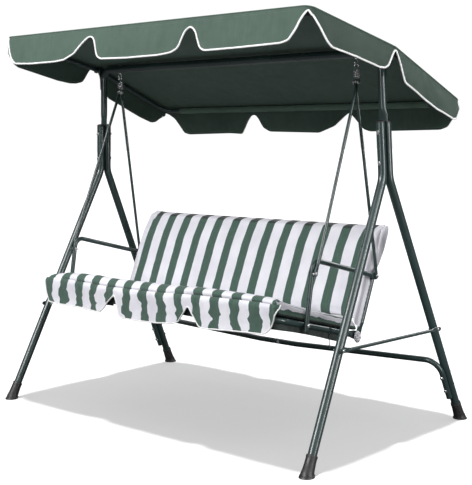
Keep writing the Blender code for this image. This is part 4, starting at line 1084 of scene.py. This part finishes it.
def build_sling_hem():
    """The sling's loose edge, which hangs from the seat rails."""
    along = SEAT_LENGTH - 0.095
    spacing = 0.006
    corners = [(-SEAT_RAIL_X, along), (-SEAT_RAIL_X, 0), (SEAT_RAIL_X, 0), (SEAT_RAIL_X, along)]
    path = evened(rounded_path([seat_point(x, y, -0.006) for x, y in corners], RAIL_BEND_R), spacing)
    rows = []
    for share in (0, 0.2, 0.4, 0.6, 0.8, 1.0):
        rows.append([])
        for i, point in enumerate(path):
            sway = 0.0025 * waver(i * spacing, 91.0, 9.0) * share
            fall = (SLING_HEM + 0.003 * waver(i * spacing, 93.0, 6.0)) * share
            rows[-1].append(point + Vector((sway, sway, -fall)))
    hem = [[0.002] * len(path)] * len(rows)
    add_piece("seat_sling_hem", sheet_bm(rows, SLING_T, {"hem": hem}), SLING, body="bench")


def simulate_pad(outline, half_x, pinned, cap):
    """Blows a closed cloth form up a little. outline is in the YZ plane, pinned says which points stay, and cap is
    how far a point may move."""
    bm = lofted([[point + X_AXIS * (half_x * share) for point in outline] for share in (-1, -0.5, 0, 0.5, 1)])
    bmesh.ops.recalc_face_normals(bm, faces=bm.faces[:])
    mesh = bpy.data.meshes.new("pad_source")
    bm.to_mesh(mesh)
    bm.free()
    obj = bpy.data.objects.new("pad_source", mesh)
    bpy.context.scene.collection.objects.link(obj)
    remesh = obj.modifiers.new("Remesh", "REMESH")
    remesh.mode = "VOXEL"
    remesh.voxel_size = VOXEL
    solid = applied_mesh(obj)
    obj.modifiers.clear()
    obj.data = solid
    rest = places_of(solid)
    held = [i for i, point in enumerate(rest) if pinned(point)]
    obj.vertex_groups.new(name="held").add(held, 1.0, "REPLACE")
    cloth = obj.modifiers.new("Cloth", "CLOTH")
    settings = cloth.settings
    settings.use_pressure = True
    settings.uniform_pressure_force = 4.0
    settings.effector_weights.gravity = 0.0
    settings.vertex_group_mass = "held"
    settings.quality = 5
    cloth.point_cache.frame_start = 1
    cloth.point_cache.frame_end = 20
    for step in range(1, 21):
        bpy.context.scene.frame_set(step)
    blown = places_of(applied_mesh(obj))
    obj.modifiers.clear()
    bpy.context.scene.frame_set(1)
    shift = blown - rest
    length = np.linalg.norm(shift, axis=1, keepdims=True)
    shift *= np.minimum(1.0, cap / np.maximum(length, 1e-9))
    blown = rest + shift
    blown[:, 0] *= half_x / np.abs(blown[:, 0]).max()
    solid.vertices.foreach_set("co", blown.ravel())
    bm = bmesh.new()
    bm.from_mesh(solid)
    for _ in range(3):
        bmesh.ops.smooth_vert(bm, verts=bm.verts[:], factor=0.5, use_axis_x=True, use_axis_y=True, use_axis_z=True)
    bpy.data.objects.remove(obj, do_unlink=True)
    return bm


def places_of(mesh):
    places = np.zeros(len(mesh.vertices) * 3)
    mesh.vertices.foreach_get("co", places)
    return places.reshape(-1, 3)


def applied_mesh(obj):
    graph = bpy.context.evaluated_depsgraph_get()
    return bpy.data.meshes.new_from_object(obj.evaluated_get(graph))


def finish_pad(name, bm, material, node):
    obj = add_piece(name, bm, material, node)
    subdivision = obj.modifiers.new("Subdivision", "SUBSURF")
    subdivision.levels = subdivision.render_levels = 1
    mesh = applied_mesh(obj)
    obj.modifiers.clear()
    obj.data = mesh


def build_seat_cushion():
    rear = SEAT_LENGTH - 0.0165
    middle_height = (CUSHION_HIGH + CUSHION_LOW) / 2
    radius = (CUSHION_HIGH - CUSHION_LOW) / 2 - SLACK / 2
    centre = seat_point(0, CUSHION_FRONT, middle_height)
    outline = [seat_point(0, rear, CUSHION_LOW), seat_point(0, rear / 2, CUSHION_LOW)]
    for i in range(11):
        outline.append(centre + swing(Y_AXIS, Z_AXIS, math.radians(280 - 20 * i) - SEAT_SLOPE) * radius)
    outline += [seat_point(0, rear / 2, (CUSHION_HIGH + CUSHION_REAR_HIGH) / 2 - SLACK),
                seat_point(0, rear - 0.012, CUSHION_REAR_HIGH - SLACK),
                seat_point(0, rear, CUSHION_REAR_HIGH - 0.012)]
    floor_line = seat_point(0, 0, CUSHION_LOW + 0.004)
    up = seat_point(0, 0, 1) - seat_point(0, 0, 0)

    def pinned(point):
        return (Vector(point) - floor_line).dot(up) < 0 and point[1] > SEAT_FRONT[0] - 0.01

    bm = simulate_pad(outline, PAD_HALF_X - 0.004, pinned, SEAT_SWELL)
    for vert in bm.verts:
        co = vert.co
        co.x += PAD_MIDDLE_X
        share = 1 - smooth((co.y - SEAT_FRONT[0] - 0.02) / 0.09)
        above = (co - floor_line).dot(up)
        raised = smooth(above / 0.03)
        seam = table(SEAM_LINE, co.x)
        if co.y < SEAT_FRONT[0]:
            co.y += 0.008 * smooth((seam + 0.001 - co.z) / 0.01)
            co.y -= 0.0035 * math.exp(-(((co.z - seam - 0.009) / 0.008) ** 2))
        ripple = waver(co.x, 3.0, 9.0) + 0.6 * waver(co.x, 5.0, 26.0)
        co.y += ripple * 0.0012 * share
        co.z += (table(ROLL_LIFT, co.x) + waver(co.x, 8.0, 17.0) * 0.0012) * share * raised
        side = smooth((abs(co.x - PAD_MIDDLE_X) - PAD_HALF_X + 0.03) / 0.03)
        groove = math.exp(-(((above - 0.013) / 0.0035) ** 2))
        co.x -= math.copysign(0.004 * groove * side, co.x)
        co.z += 0.0035 * waver(co.y, 61.0, 12.0) * side * raised
    finish_pad("seat_cushion_pad", bm, SEAT_STRIPES, "seat_cushion")
    build_skirt()


SEAM_LINE = [(-0.64, 0.533), (-0.5, 0.537), (-0.41, 0.534), (-0.22, 0.529), (0.06, 0.533), (0.25, 0.542),
             (0.54, 0.547), (0.65, 0.545)]
ROLL_LIFT = [(-0.64, -0.016), (-0.6, -0.01), (-0.5, 0.003), (-0.34, 0.008), (-0.2, 0.003), (-0.05, 0.004),
             (0.1, 0.006), (0.26, 0.012), (0.5, 0.009), (0.65, 0.006)]
SKIRT_HEM = [(-0.614, 0.49), (-0.611, 0.45), (-0.606, 0.437), (-0.53, 0.432), (-0.427, 0.432), (-0.315, 0.426),
             (-0.288, 0.424), (-0.26, 0.441), (-0.226, 0.473), (-0.19, 0.499), (-0.18, 0.502), (-0.175, 0.492),
             (-0.171, 0.45), (-0.165, 0.424), (-0.155, 0.4165), (-0.051, 0.416), (0.039, 0.418), (0.098, 0.425),
             (0.137, 0.428), (0.165, 0.436), (0.205, 0.482), (0.224, 0.505), (0.24, 0.48), (0.272, 0.435),
             (0.285, 0.43), (0.324, 0.429), (0.426, 0.435), (0.52, 0.44), (0.582, 0.441), (0.6, 0.448),
             (0.616, 0.462), (0.629, 0.481), (0.64, 0.506), (0.648, 0.528), (0.654, 0.541)]


def skirt_point(x, share):
    seam = table(SEAM_LINE, x)
    bottom = table(SKIRT_HEM, x)
    top = seam + 0.004
    z = top + (bottom - top) * share
    drop = (top - z) / 0.115
    gather = 0.0016 * math.sin(x * 150 + 2 * waver(x, 2.0, 6.0)) * max(0.0, 1 - 2 * drop) * min(1.0, share * 8)
    fold = (0.005 * waver(x, 11.0, 8.0) + 0.003 * waver(x, 13.0, 21.0)) * drop
    belly = 0.003 * math.sin(math.pi * min(1.0, drop * 1.4))
    tucked = 1 - smooth(drop * 9)
    y = SKIRT_Y - 0.0065 + 0.005 * smooth(drop * 2) - gather - fold - belly + 0.005 * tucked
    sway = 0.004 * waver(x + z, 17.0, 9.0) * drop * (1 - smooth(share * 6 - 5))
    y += 1.4 * max(0.0, x - 0.642)
    return Vector((x + sway, y, z))


def build_skirt():
    places = [float(x) for x in np.linspace(SKIRT_HEM[0][0], SKIRT_HEM[-1][0], 641)]
    rows = [[skirt_point(x, r / 17) for x in places] for r in range(18)]
    add_piece("seat_skirt_cloth", sheet_bm(rows, CLOTH_T), SKIRT_STRIPES, body="bench")
    left_end = [skirt_point(places[0], r / 10) for r in range(1, 10)]
    right_end = [skirt_point(places[-1], r / 10) for r in range(9, 0, -1)]
    add_bead("seat_skirt_binding", evened(left_end + rows[-1] + right_end, 0.003), 0.0028, TAPE, "bench")


def evened(path, spacing):
    """The polyline with points spaced evenly along it."""
    lengths = run_lengths(path)
    count = max(2, round(lengths[-1] / spacing))
    wanted = np.linspace(0, lengths[-1], count + 1)
    parts = [np.interp(wanted, lengths, [point[k] for point in path]) for k in range(3)]
    return [Vector(point) for point in zip(*parts)]


HOOD_OUTLINE = [(-0.13, 0.0478), (-0.1, 0.0474), (-0.075, 0.0455), (-0.05, 0.0425), (-0.025, 0.0385), (0.002, 0.0342),
                (0.015, 0.0305), (0.024, 0.021), (0.033, 0.009), (0.04, -0.002), (0.0435, -0.011), (0.038, -0.0185),
                (0.02, -0.0225), (0.0, -0.0225)]
HOOD_CHEEK = [(0.036, -0.003), (0.039, -0.01), (0.033, -0.015), (0.01, -0.018), (-0.02, -0.0185), (-0.045, -0.018),
              (-0.075, -0.015), (-0.11, -0.007), (-0.148, 0.004), (-0.15, 0.013), (-0.1, 0.019), (-0.05, 0.02),
              (0.0, 0.02), (0.018, 0.013)]


def build_back_cushion():
    flap_foot = BACK_LENGTH - FLAP_LENGTH
    outline = [(flap_foot, -HOOD_INNER - 0.007), (flap_foot, -HOOD_INNER)]
    for i in range(13):
        angle = math.pi * i / 12
        outline.append((BACK_LENGTH + HOOD_INNER * math.sin(angle), -HOOD_INNER * math.cos(angle)))
    outline += [(BACK_FOOT + 0.004, HOOD_INNER), (BACK_FOOT + 0.002, BACK_FACE - 0.014),
                (BACK_FOOT + 0.006, BACK_FACE - 0.005), (BACK_FOOT + 0.014, BACK_FACE - SLACK)]
    outline += [(BACK_LENGTH + up, ahead) for up, ahead in HOOD_OUTLINE]
    origin = back_point(0, 0, 0)
    up_way = back_point(0, 1, 0) - origin
    ahead_way = back_point(0, 0, 1) - origin

    def pinned(point):
        place = Vector(point) - origin
        ahead = place.dot(ahead_way)
        up = place.dot(up_way)
        return abs(ahead) < HOOD_INNER + 0.002 and up < BACK_LENGTH + HOOD_INNER + 0.002

    outline = [back_point(0, up, ahead) for up, ahead in outline]
    bm = simulate_pad(outline, CUSHION_X - 0.004, pinned, BACK_SWELL)
    for vert in bm.verts:
        vert.co.x += BACK_MIDDLE_X
        place = vert.co - origin
        ahead = place.dot(ahead_way)
        up = place.dot(up_way)
        if ahead > HOOD_INNER + 0.01:
            vert.co += ahead_way * (0.003 * waver(vert.co.x, 23.0, 6.0) * waver(up, 29.0, 9.0))
        behind = smooth((HOOD_INNER + 0.012 - ahead) / 0.01) * (1 - smooth((up - BACK_LENGTH + 0.1) / 0.08))
        vert.co.x += 0.009 * behind * smooth((vert.co.x - 0.62) / 0.02)
        droop = smooth((vert.co.x - 0.618) / 0.025) * (1 - smooth((up - BACK_FOOT) / 0.1))
        vert.co -= up_way * 0.03 * droop
        if ahead < 0:
            vert.co += ahead_way * 0.006 * smooth((abs(vert.co.x) - 0.6) / 0.03)
        beside = abs(vert.co.z - arm_height(vert.co.y))
        limit = ARM_X - ARM_R - 0.0015 + 0.014 * smooth((beside - 0.012) / 0.025)
        vert.co.x = min(vert.co.x, limit)
    finish_pad("back_cushion_pad", bm, BACK_STRIPES, "back_cushion")
    build_cheek(origin + up_way * BACK_LENGTH, up_way, ahead_way)
    foot = []
    for i in range(161):
        x = BACK_MIDDLE_X + (i / 80 - 1) * (CUSHION_X - 0.012)
        droop = 0.03 * smooth((x - 0.618) / 0.025)
        wander = 0.003 * waver(x, 81.0, 14.0)
        foot.append(back_point(x, BACK_FOOT + 0.004 - droop + wander, BACK_FACE - 0.009 + 0.5 * wander))
    add_bead("back_cushion_foot_piping", foot, 0.0026, TAPE, "bench")
    build_ties()


def build_cheek(top, up_way, ahead_way):
    """The hood's closed end, a loose flap of cloth over the back frame's right corner."""
    rings = []
    for level, width in ((0.0, 1.0), (0.35, 0.97), (0.65, 0.86), (0.85, 0.7), (1.0, 0.4)):
        ring = []
        for up, ahead in HOOD_CHEEK:
            pull = 1 - (1 - width) * 0.5
            place = top + up_way * (-0.04 + (up + 0.04) * pull) + ahead_way * (-0.006 + (ahead + 0.006) * width)
            ring.append(place + X_AXIS * (CUSHION_X - 0.002 + 0.013 * level))
        rings.append(curve_through(ring + ring[:1], 4)[:-1])
    bm = lofted(rings)
    for vert in bm.verts:
        vert.co.x += 0.0012 * waver(vert.co.z, 71.0, 30.0) * waver(vert.co.y, 73.0, 30.0)
    add_piece("back_cushion_hood_end", bm, BACK_STRIPES, body="bench")


TIE_ALONG = 0.29
TIE_WAY = ((-0.02, 0, 0.012), (-0.006, 0, 0.0135), (0.009, 0, 0.0095), (0.0135, 0.001, -0.002),
           (0.007, 0.001, -0.0125), (0.001, 0.002, -0.022), (0.003, 0, -0.04), (0.001, 0.003, -0.058),
           (0.003, 0.002, -0.07))
BOW_SHORT = 0.012


def build_ties():
    """Thin cord ties that hold the cushions to the frame's rear corners."""
    rail = seat_point(SEAT_RAIL_X, TIE_ALONG, 0)
    for side, sign in SIDES:
        path = [on_side(rail + Vector(step), sign) for step in TIE_WAY]
        add_bead(f"cushion_tie_{side}_cord", curve_through(path), 0.0016, SHADED_CORD, "bench")
        corner = on_side(seat_point(SEAT_RAIL_X + 0.0125, SEAT_LENGTH - BOW_SHORT, -0.006), sign)
        add_bow(f"cushion_tie_{side}_bow", corner, sign)


def add_bow(name, centre, sign):
    """A tie's crumpled bow, pulled tight."""
    bm = bmesh.new()
    bmesh.ops.create_icosphere(bm, subdivisions=5, radius=1.0)
    for vert in bm.verts:
        way = vert.co.normalized()
        folds = 1 - abs(noise.noise(way * 2.3 + Vector((7.0, 3.0, 1.0)))) * 1.5
        folds += 0.5 * (1 - abs(noise.noise(way * 5.1)) * 2)
        vert.co = Vector((way.x * 0.011 * sign, way.y * 0.0155, way.z * 0.021)) * (0.55 + 0.4 * folds) + centre
    add_piece(name, bm, CRUMPLED_SHADED, body="bench")


def curve_through(points, steps=8):
    """A smooth curve through the points."""
    path = []
    for i in range(len(points) - 1):
        before = points[max(i - 1, 0)]
        a, b = points[i], points[i + 1]
        after = points[min(i + 2, len(points) - 1)]
        for k in range(steps):
            t = k / steps
            path.append(0.5 * (2 * a + (b - before) * t + (2 * before - 5 * a + 4 * b - after) * t * t
                               + (3 * a - before - 3 * b + after) * t**3))
    path.append(points[-1])
    return path


# ---------------------------------------------------------------- canopy


def build_canopy_frame():
    for side, sign in SIDES:
        points = [on_side(point, sign) for point in (
            (SIDE_ARM_END_X, *FRONT_BAR), (SIDE_ARM_X, *FRONT_BAR), (SIDE_ARM_X, MID_Y, BEAM_Z),
            (SIDE_ARM_X, *REAR_BAR), (SIDE_ARM_END_X, *REAR_BAR))]
        normal = Vector((0.3 * sign, 0.3, 1)).normalized()
        add_tube(f"canopy_arm_{side}", rounded_path(points, SIDE_ARM_BEND_R, 24), SIDE_ARM_R, thin=normal)
        base = on_side((KNOB_STUD_X, MID_Y, BEAM_Z), sign)
        face = SIDE_ARM_X + SIDE_ARM_R + BOLT_GAP - KNOB_STUD_X
        profile = [(0.0022, 0), (0.003, 0.001), (0.003, face), (0.0095, face), (0.0102, face + 0.0006),
                   (0.0122, face + 0.0022), (0.0122, face + 0.0072), (0.0112, face + 0.0088), (0.0085, face + 0.0096),
                   (0.005, face + 0.0099)]
        bm = lofted(turned(base, X_AXIS * sign, profile, 60, lobes=((5, 6, 7), 6, 0.06)))
        add_piece(f"tilt_knob_{side}_lobed", bm, PLASTIC, f"tilt_knob_{side}", sharp=35)
    for name, (y, z) in (("canopy_bar_front", FRONT_BAR), ("canopy_bar_rear", REAR_BAR)):
        path = [Vector((sign * BAR_HALF, y, z)) for sign in (-1, 1)]
        add_tube(name, path, BAR_R, thin=Z_AXIS)
        add_sleeve(f"{name}_sleeve", y, z)


def add_sleeve(name, y, z):
    """The pocket sewn under the roof that the bar is pushed through."""
    rings = []
    half = BAR_HALF - 0.035
    steps = 150
    count = 20
    for i in range(steps + 1):
        x = -half + 2 * half * i / steps
        ring = []
        for k in range(count):
            angle = 2 * math.pi * k / count
            radius = BAR_R + 0.0012 + 0.0006 * waver(x, 31.0 + k % 5, 14.0)
            if math.sin(angle) > 0.6:
                radius = BAR_R + 0.0012
            ring.append(Vector((x, y + radius * math.cos(angle), z + radius * math.sin(angle))))
        rings.append(ring)
    add_piece(name, lofted(rings), CANOPY, body="canopy", sharp=50)


def roof_height(x, y):
    edge_y, edge_z = CANOPY_FRONT if y < MID_Y else CANOPY_REAR
    share = (y - MID_Y) / (edge_y - MID_Y)
    crown = CANOPY_CROWN * (1 - (x / CANOPY_X) ** 4) * (1 - share)
    sag = 0.006 * math.sin(math.pi * min(1.0, share)) * (1 - (x / CANOPY_X) ** 2)
    return CANOPY_HIP_Z + (edge_z - CANOPY_HIP_Z) * share + crown - sag


FRONT_DROPS = [(-0.81, 0.016), (-0.796, 0.022), (-0.77, 0.078), (-0.748, 0.105), (-0.725, 0.117), (-0.622, 0.122),
               (-0.457, 0.121), (-0.407, 0.117), (-0.347, 0.094), (-0.307, 0.06), (-0.278, 0.039), (-0.258, 0.035),
               (-0.238, 0.045), (-0.226, 0.076), (-0.214, 0.111), (-0.188, 0.123), (-0.045, 0.127), (0.126, 0.126),
               (0.2, 0.12), (0.233, 0.107), (0.248, 0.081), (0.257, 0.05), (0.283, 0.034), (0.309, 0.05),
               (0.328, 0.086), (0.342, 0.112), (0.365, 0.122), (0.528, 0.121), (0.709, 0.117), (0.743, 0.109),
               (0.77, 0.076), (0.786, 0.043), (0.796, 0.022), (0.806, 0.013), (0.816, 0.012)]
REAR_DROPS = [(-0.81, 0.02), (-0.79, 0.024), (-0.755, 0.045), (-0.704, 0.112), (-0.672, 0.12), (-0.409, 0.115),
              (-0.335, 0.119), (-0.29, 0.062), (-0.262, 0.037), (-0.24, 0.034), (-0.226, 0.045), (-0.204, 0.091),
              (-0.167, 0.109), (0.111, 0.115), (0.196, 0.087), (0.255, 0.048), (0.285, 0.032), (0.312, 0.062),
              (0.345, 0.101), (0.377, 0.111), (0.71, 0.106), (0.745, 0.095), (0.775, 0.06), (0.8, 0.026),
              (0.81, 0.02)]
SIDE_DROPS = [(-0.44, 0.012), (-0.426, 0.013), (-0.414, 0.022), (-0.394, 0.066), (-0.366, 0.104), (-0.347, 0.115),
              (-0.212, 0.11), (-0.085, 0.108), (-0.05, 0.102), (-0.022, 0.084), (0.005, 0.05), (0.028, 0.024),
              (0.04, 0.0145), (0.047, 0.016), (0.05, 0.04), (0.053, 0.1), (0.065, 0.119), (0.113, 0.119),
              (0.266, 0.121), (0.38, 0.108), (0.41, 0.092), (0.44, 0.05), (0.46, 0.026), (0.482, 0.02)]
LEFT_DROPS = [(-0.44, 0.012), (-0.424, 0.024), (-0.403, 0.068), (-0.38, 0.097), (-0.356, 0.106), (-0.149, 0.108),
              (-0.085, 0.104), (-0.05, 0.096), (-0.0145, 0.08), (0.004, 0.045), (0.014, 0.022), (0.024, 0.011),
              (0.036, 0.009), (0.052, 0.011), (0.068, 0.017), (0.0845, 0.042), (0.1, 0.07), (0.118, 0.088),
              (0.14, 0.096), (0.333, 0.098), (0.4, 0.092), (0.425, 0.078), (0.45, 0.046), (0.47, 0.026),
              (0.482, 0.02)]


ROOF_SCALES = (0.03, 0.12, 0.22, 0.32, 0.42, 0.52, 0.6, 0.68, 0.75, 0.81, 0.86, 0.9, 0.935, 0.96, 0.978, 0.99)
SKIRT_LEVELS = (0.02, 0.06, 0.12, 0.2, 0.3, 0.4, 0.5, 0.6, 0.7, 0.8, 0.88, 0.94, 0.975, 1.0)
FULL_DROP = 0.12
NO_HEM = 0.5  # a hem distance too far away to show stitches


def canopy_outline(spacing=0.005):
    """Evenly spaced points round the roof: x, y, the way outwards, the run from the first and the skirt's drop."""
    centre_y = (CANOPY_FRONT[0] + CANOPY_REAR[0]) / 2
    half_y = (CANOPY_REAR[0] - CANOPY_FRONT[0]) / 2
    flat_x, flat_y = CANOPY_X - CORNER_R, half_y - CORNER_R
    quarter = math.pi * CORNER_R / 2
    drops = (FRONT_DROPS, SIDE_DROPS, REAR_DROPS, LEFT_DROPS)
    # for each side: its length, start, way along it, next corner's centre and the corner's first angle
    sides = ((2 * flat_x, (-flat_x, -half_y), (1, 0), (flat_x, -flat_y), -90),
             (2 * flat_y, (CANOPY_X, -flat_y), (0, 1), (flat_x, flat_y), 0),
             (2 * flat_x, (flat_x, half_y), (-1, 0), (-flat_x, flat_y), 90),
             (2 * flat_y, (-CANOPY_X, flat_y), (0, -1), (-flat_x, -flat_y), 180))
    points = []
    run = 0.0
    for k, (length, begin, way, corner, first) in enumerate(sides):
        steps = round(length / spacing)
        for i in range(steps):
            along = length * i / steps
            place = (begin[0] + way[0] * along, begin[1] + way[1] * along + centre_y)
            points.append((*place, way[1], -way[0], run + along, table(drops[k], place[k % 2])))
        run += length
        steps = round(quarter / (spacing * 0.6))
        for i in range(steps):
            part = i / steps
            angle = math.radians(first + 90 * part)
            out = (math.cos(angle), math.sin(angle))
            side = k if part < 0.5 else (k + 1) % 4
            past = quarter * (part if part < 0.5 else 1 - part)
            sign = (1, 1, -1, -1)[k] if part < 0.5 else (-1, 1, 1, -1)[k]
            reach = sign * (flat_x + past) if side % 2 == 0 else sign * (flat_y + past) + centre_y
            points.append((corner[0] + CORNER_R * out[0], corner[1] + centre_y + CORNER_R * out[1], *out,
                           run + quarter * part, table(drops[side], reach)))
        run += quarter
    return points


def build_canopy_fabric():
    outline = canopy_outline()
    lines = []  # each line has a place, the distance to the hem and the distance to the roof's edge at each point
    for scale in ROOF_SCALES:
        lines.append([(roof_place(x * scale, MID_Y + (y - MID_Y) * scale), NO_HEM, (1 - scale) * 0.45)
                      for x, y, *_ in outline])
    for inset in (0.0028, 0.0006):
        lines.append([(Vector((x - out_x * inset, y - out_y * inset, roof_height(x, y) - inset * 0.15)), NO_HEM, inset)
                      for x, y, out_x, out_y, *_ in outline])
    for level in SKIRT_LEVELS:
        lines.append([(skirt_place(point, level), point[5] * (1 - level), point[5] * level) for point in outline])
    rows, hems, edges = ([[entry[k] for entry in line] for line in lines] for k in range(3))
    runs = [[point[4] for point in outline]] * len(lines)
    bm = sheet_bm(rows, CLOTH_T, {"hem": hems, "edge": edges, "run": runs}, closed=True, centre=roof_height(0, MID_Y))
    add_piece("canopy_fabric_sheet", bm, CANOPY, "canopy_fabric")
    hem_line = evened(rows[-1] + rows[-1][:1], 0.004)[:-1]
    binding = []
    for i, place in enumerate(hem_line):
        along = (hem_line[(i + 1) % len(hem_line)] - hem_line[i - 1]).normalized()
        out = Vector((place.x, 0, 0)) if abs(place.x) > CANOPY_X - 0.001 else Vector((0, place.y - MID_Y, 0))
        into_cloth = out.normalized().cross(along)
        binding.append(place + into_cloth * 0.0026 + out.normalized() * 0.0022)
    add_bead("canopy_piping", binding, 0.0034, TAPE, "canopy", closed=True)
    welt = [Vector((x + out_x * 0.0004, y + out_y * 0.0004, roof_height(x, y) - 0.0014))
            for x, y, out_x, out_y, *_ in outline]
    add_bead("canopy_edge_welt", welt, 0.0022, CANOPY, "canopy", closed=True)


def roof_place(x, y):
    """A point of the roof with its shallow wrinkles, which run from the beam to the bars."""
    share = min(1.0, abs((y - MID_Y) / 0.43))
    crease = 0.0016 * waver(x, 37.0 + (1 if y > MID_Y else 0), 7.0) * math.sin(math.pi * share)
    return Vector((x, y, roof_height(x, y) + crease))


def skirt_place(point, level):
    """A point of the hanging skirt, from the roof's edge at level 0 to the hem at 1."""
    x, y, out_x, out_y, run, drop = point
    down = drop * level
    hang = down / FULL_DROP
    wave = 0.0035 * waver(run, 41.0, 6.5) + 0.002 * waver(run, 43.0, 17.0)
    curl = 0.004 * max(0.0, 1 - drop / FULL_DROP) * level
    out = 0.024 * hang + wave * hang * hang + 0.003 * math.sin(math.pi * min(1.0, hang)) - curl
    return Vector((x + out_x * out, y + out_y * out, roof_height(x, y) - down))


# ---------------------------------------------------------------- stage


def build_stage():
    bm = bmesh.new()
    bmesh.ops.create_grid(bm, x_segments=40, y_segments=40, size=30)
    mesh = bpy.data.meshes.new("floor")
    bm.to_mesh(mesh)
    bm.free()
    floor = bpy.data.objects.new("floor", mesh)
    floor.location.z = -0.0006
    bpy.context.scene.collection.objects.link(floor)
    mesh.materials.append(pale_floor())
    build_world()
    cloths = ("canopy_fabric_", "back_cushion_", "seat_cushion_", "seat_skirt_")
    soft = [obj for obj in bpy.data.objects if obj.name.startswith(cloths)]
    floor_only = receivers("floor_only", [floor], "INCLUDE")
    no_floor = receivers("no_floor", [floor], "EXCLUDE")
    no_cloth = receivers("no_floor_or_cloth", [floor, *soft], "EXCLUDE")
    sun = add_light("sun_overhead", "SUN", (0, 0, 4), (0, 0, 0), 6.0, floor_only)
    sun.data.angle = math.radians(1.7)
    for name, place, target, energy, size, spares_cloth in SOFTBOXES:
        light = add_light(name, "AREA", place, target, energy, no_cloth if spares_cloth else no_floor)
        light.data.shape = "RECTANGLE"
        light.data.size, light.data.size_y = size


SOFTBOXES = (
    ("softbox_front", (-0.9, -4.4, 3.3), (0, 0, 0.9), 215, (2.4, 1.6), False),
    ("softbox_right", (4.4, -1.2, 2.6), (0, 0, 0.9), 35, (0.7, 1.8), False),
    ("strip_right", (4.6, 0.4, 1.6), (0, 0, 1.0), 110, (0.8, 2.6), True),
    ("strip_front", (1.1, -4.9, 1.4), (0, 0, 1.0), 50, (0.6, 2.6), True),
    ("softbox_left", (-4.4, 0.6, 2.6), (0, 0, 0.9), 25, (0.7, 1.8), True),
    ("softbox_back", (0.8, 4.6, 2.6), (0, 0, 0.9), 60, (2.0, 1.2), False),
)


def receivers(name, objects, state):
    """A light-linking collection that lights only these objects, or all but these."""
    collection = bpy.data.collections.new(name)
    for obj in objects:
        collection.objects.link(obj)
    for entry in collection.collection_objects:
        entry.light_linking.link_state = state
    return collection


def pale_floor():
    """Near white, with the same brightness in every direction; rays from the object see it darker."""
    g = Graph("pale_floor")
    seen = g.add("ShaderNodeLightPath").outputs["Is Camera Ray"]
    grain = g.spread(g.noise(3.0, 2.0))
    pale = g.mix(grain, (0.34, 0.34, 0.34), (0.36, 0.36, 0.36))
    g.set(Base_Color=g.mix(seen, (0.08, 0.08, 0.08), pale), Roughness=0.9, Specular_IOR_Level=0.0)
    g.set(Emission_Color=(1.0, 1.0, 1.0), Emission_Strength=g.mul(seen, 0.47))
    return g.material


def build_world():
    """White to the camera; a soft dome, dark near the floor, to everything else."""
    world = bpy.context.scene.world or bpy.data.worlds.new("studio")
    bpy.context.scene.world = world
    world.use_nodes = True
    tree = world.node_tree
    tree.nodes.clear()
    kinds = ("OutputWorld", "Background", "LightPath", "TexCoord", "SeparateXYZ", "ValToRGB", "Mix")
    output, background, path, place, split, ramp, mix = (tree.nodes.new("ShaderNode" + kind) for kind in kinds)
    mix.data_type = "RGBA"
    stops = ramp.color_ramp.elements
    stops.new(0.35)
    for stop, (position, level) in zip(stops, ((0.0, 0.12), (0.35, 0.3), (0.9, 1.0))):
        stop.position = position
        stop.color = (level, level, level * 1.02, 1)
    mix.inputs[7].default_value = (1.02, 1.02, 1.02, 1)
    for start, end in ((place.outputs["Generated"], split.inputs[0]), (split.outputs[2], ramp.inputs[0]),
                       (path.outputs["Is Camera Ray"], mix.inputs[0]), (ramp.outputs[0], mix.inputs[6]),
                       (mix.outputs[2], background.inputs[0]), (background.outputs[0], output.inputs[0])):
        tree.links.new(start, end)


def add_light(name, kind, place, target, energy, lit):
    data = bpy.data.lights.new(name, kind)
    data.energy = energy
    light = bpy.data.objects.new(name, data)
    light.location = place
    light.rotation_euler = (Vector(target) - Vector(place)).to_track_quat("-Z", "Y").to_euler()
    light.visible_camera = False
    light.light_linking.receiver_collection = lit
    bpy.context.scene.collection.objects.link(light)
    return light


def build_camera():
    """The photograph's viewing angle: from the front right, a little above seat height."""
    azimuth, pitch, roll = (math.radians(degrees) for degrees in (43.19, 6.35, -0.99))
    focal, frame_height, sensor = 1109.0, 485.0, 36.0
    ahead = Vector((-math.sin(azimuth) * math.cos(pitch), math.cos(azimuth) * math.cos(pitch), -math.sin(pitch)))
    right = Vector((math.cos(azimuth), math.sin(azimuth), 0))
    up = right.cross(ahead)
    across = right * math.cos(roll) + up * math.sin(roll)
    over = -right * math.sin(roll) + up * math.cos(roll)
    turn = Matrix((across, over, -ahead)).transposed().to_4x4()
    data = bpy.data.cameras.new("camera")
    data.sensor_width = sensor
    data.lens = focal * sensor / frame_height
    data.clip_end = 200.0
    camera = bpy.data.objects.new("camera", data)
    camera.matrix_world = Matrix.Translation((3.078, -3.197, 1.174)) @ turn
    bpy.context.scene.collection.objects.link(camera)
    bpy.context.scene.camera = camera


# ---------------------------------------------------------------- assembly


build_stand()
build_hangers()
build_bench_frame()
build_sling()
build_seat_cushion()
build_back_cushion()
build_canopy_frame()
build_canopy_fabric()
build_stage()
build_camera()
bpy.context.scene.view_settings.view_transform = "Standard"
bpy.context.view_layer.update()
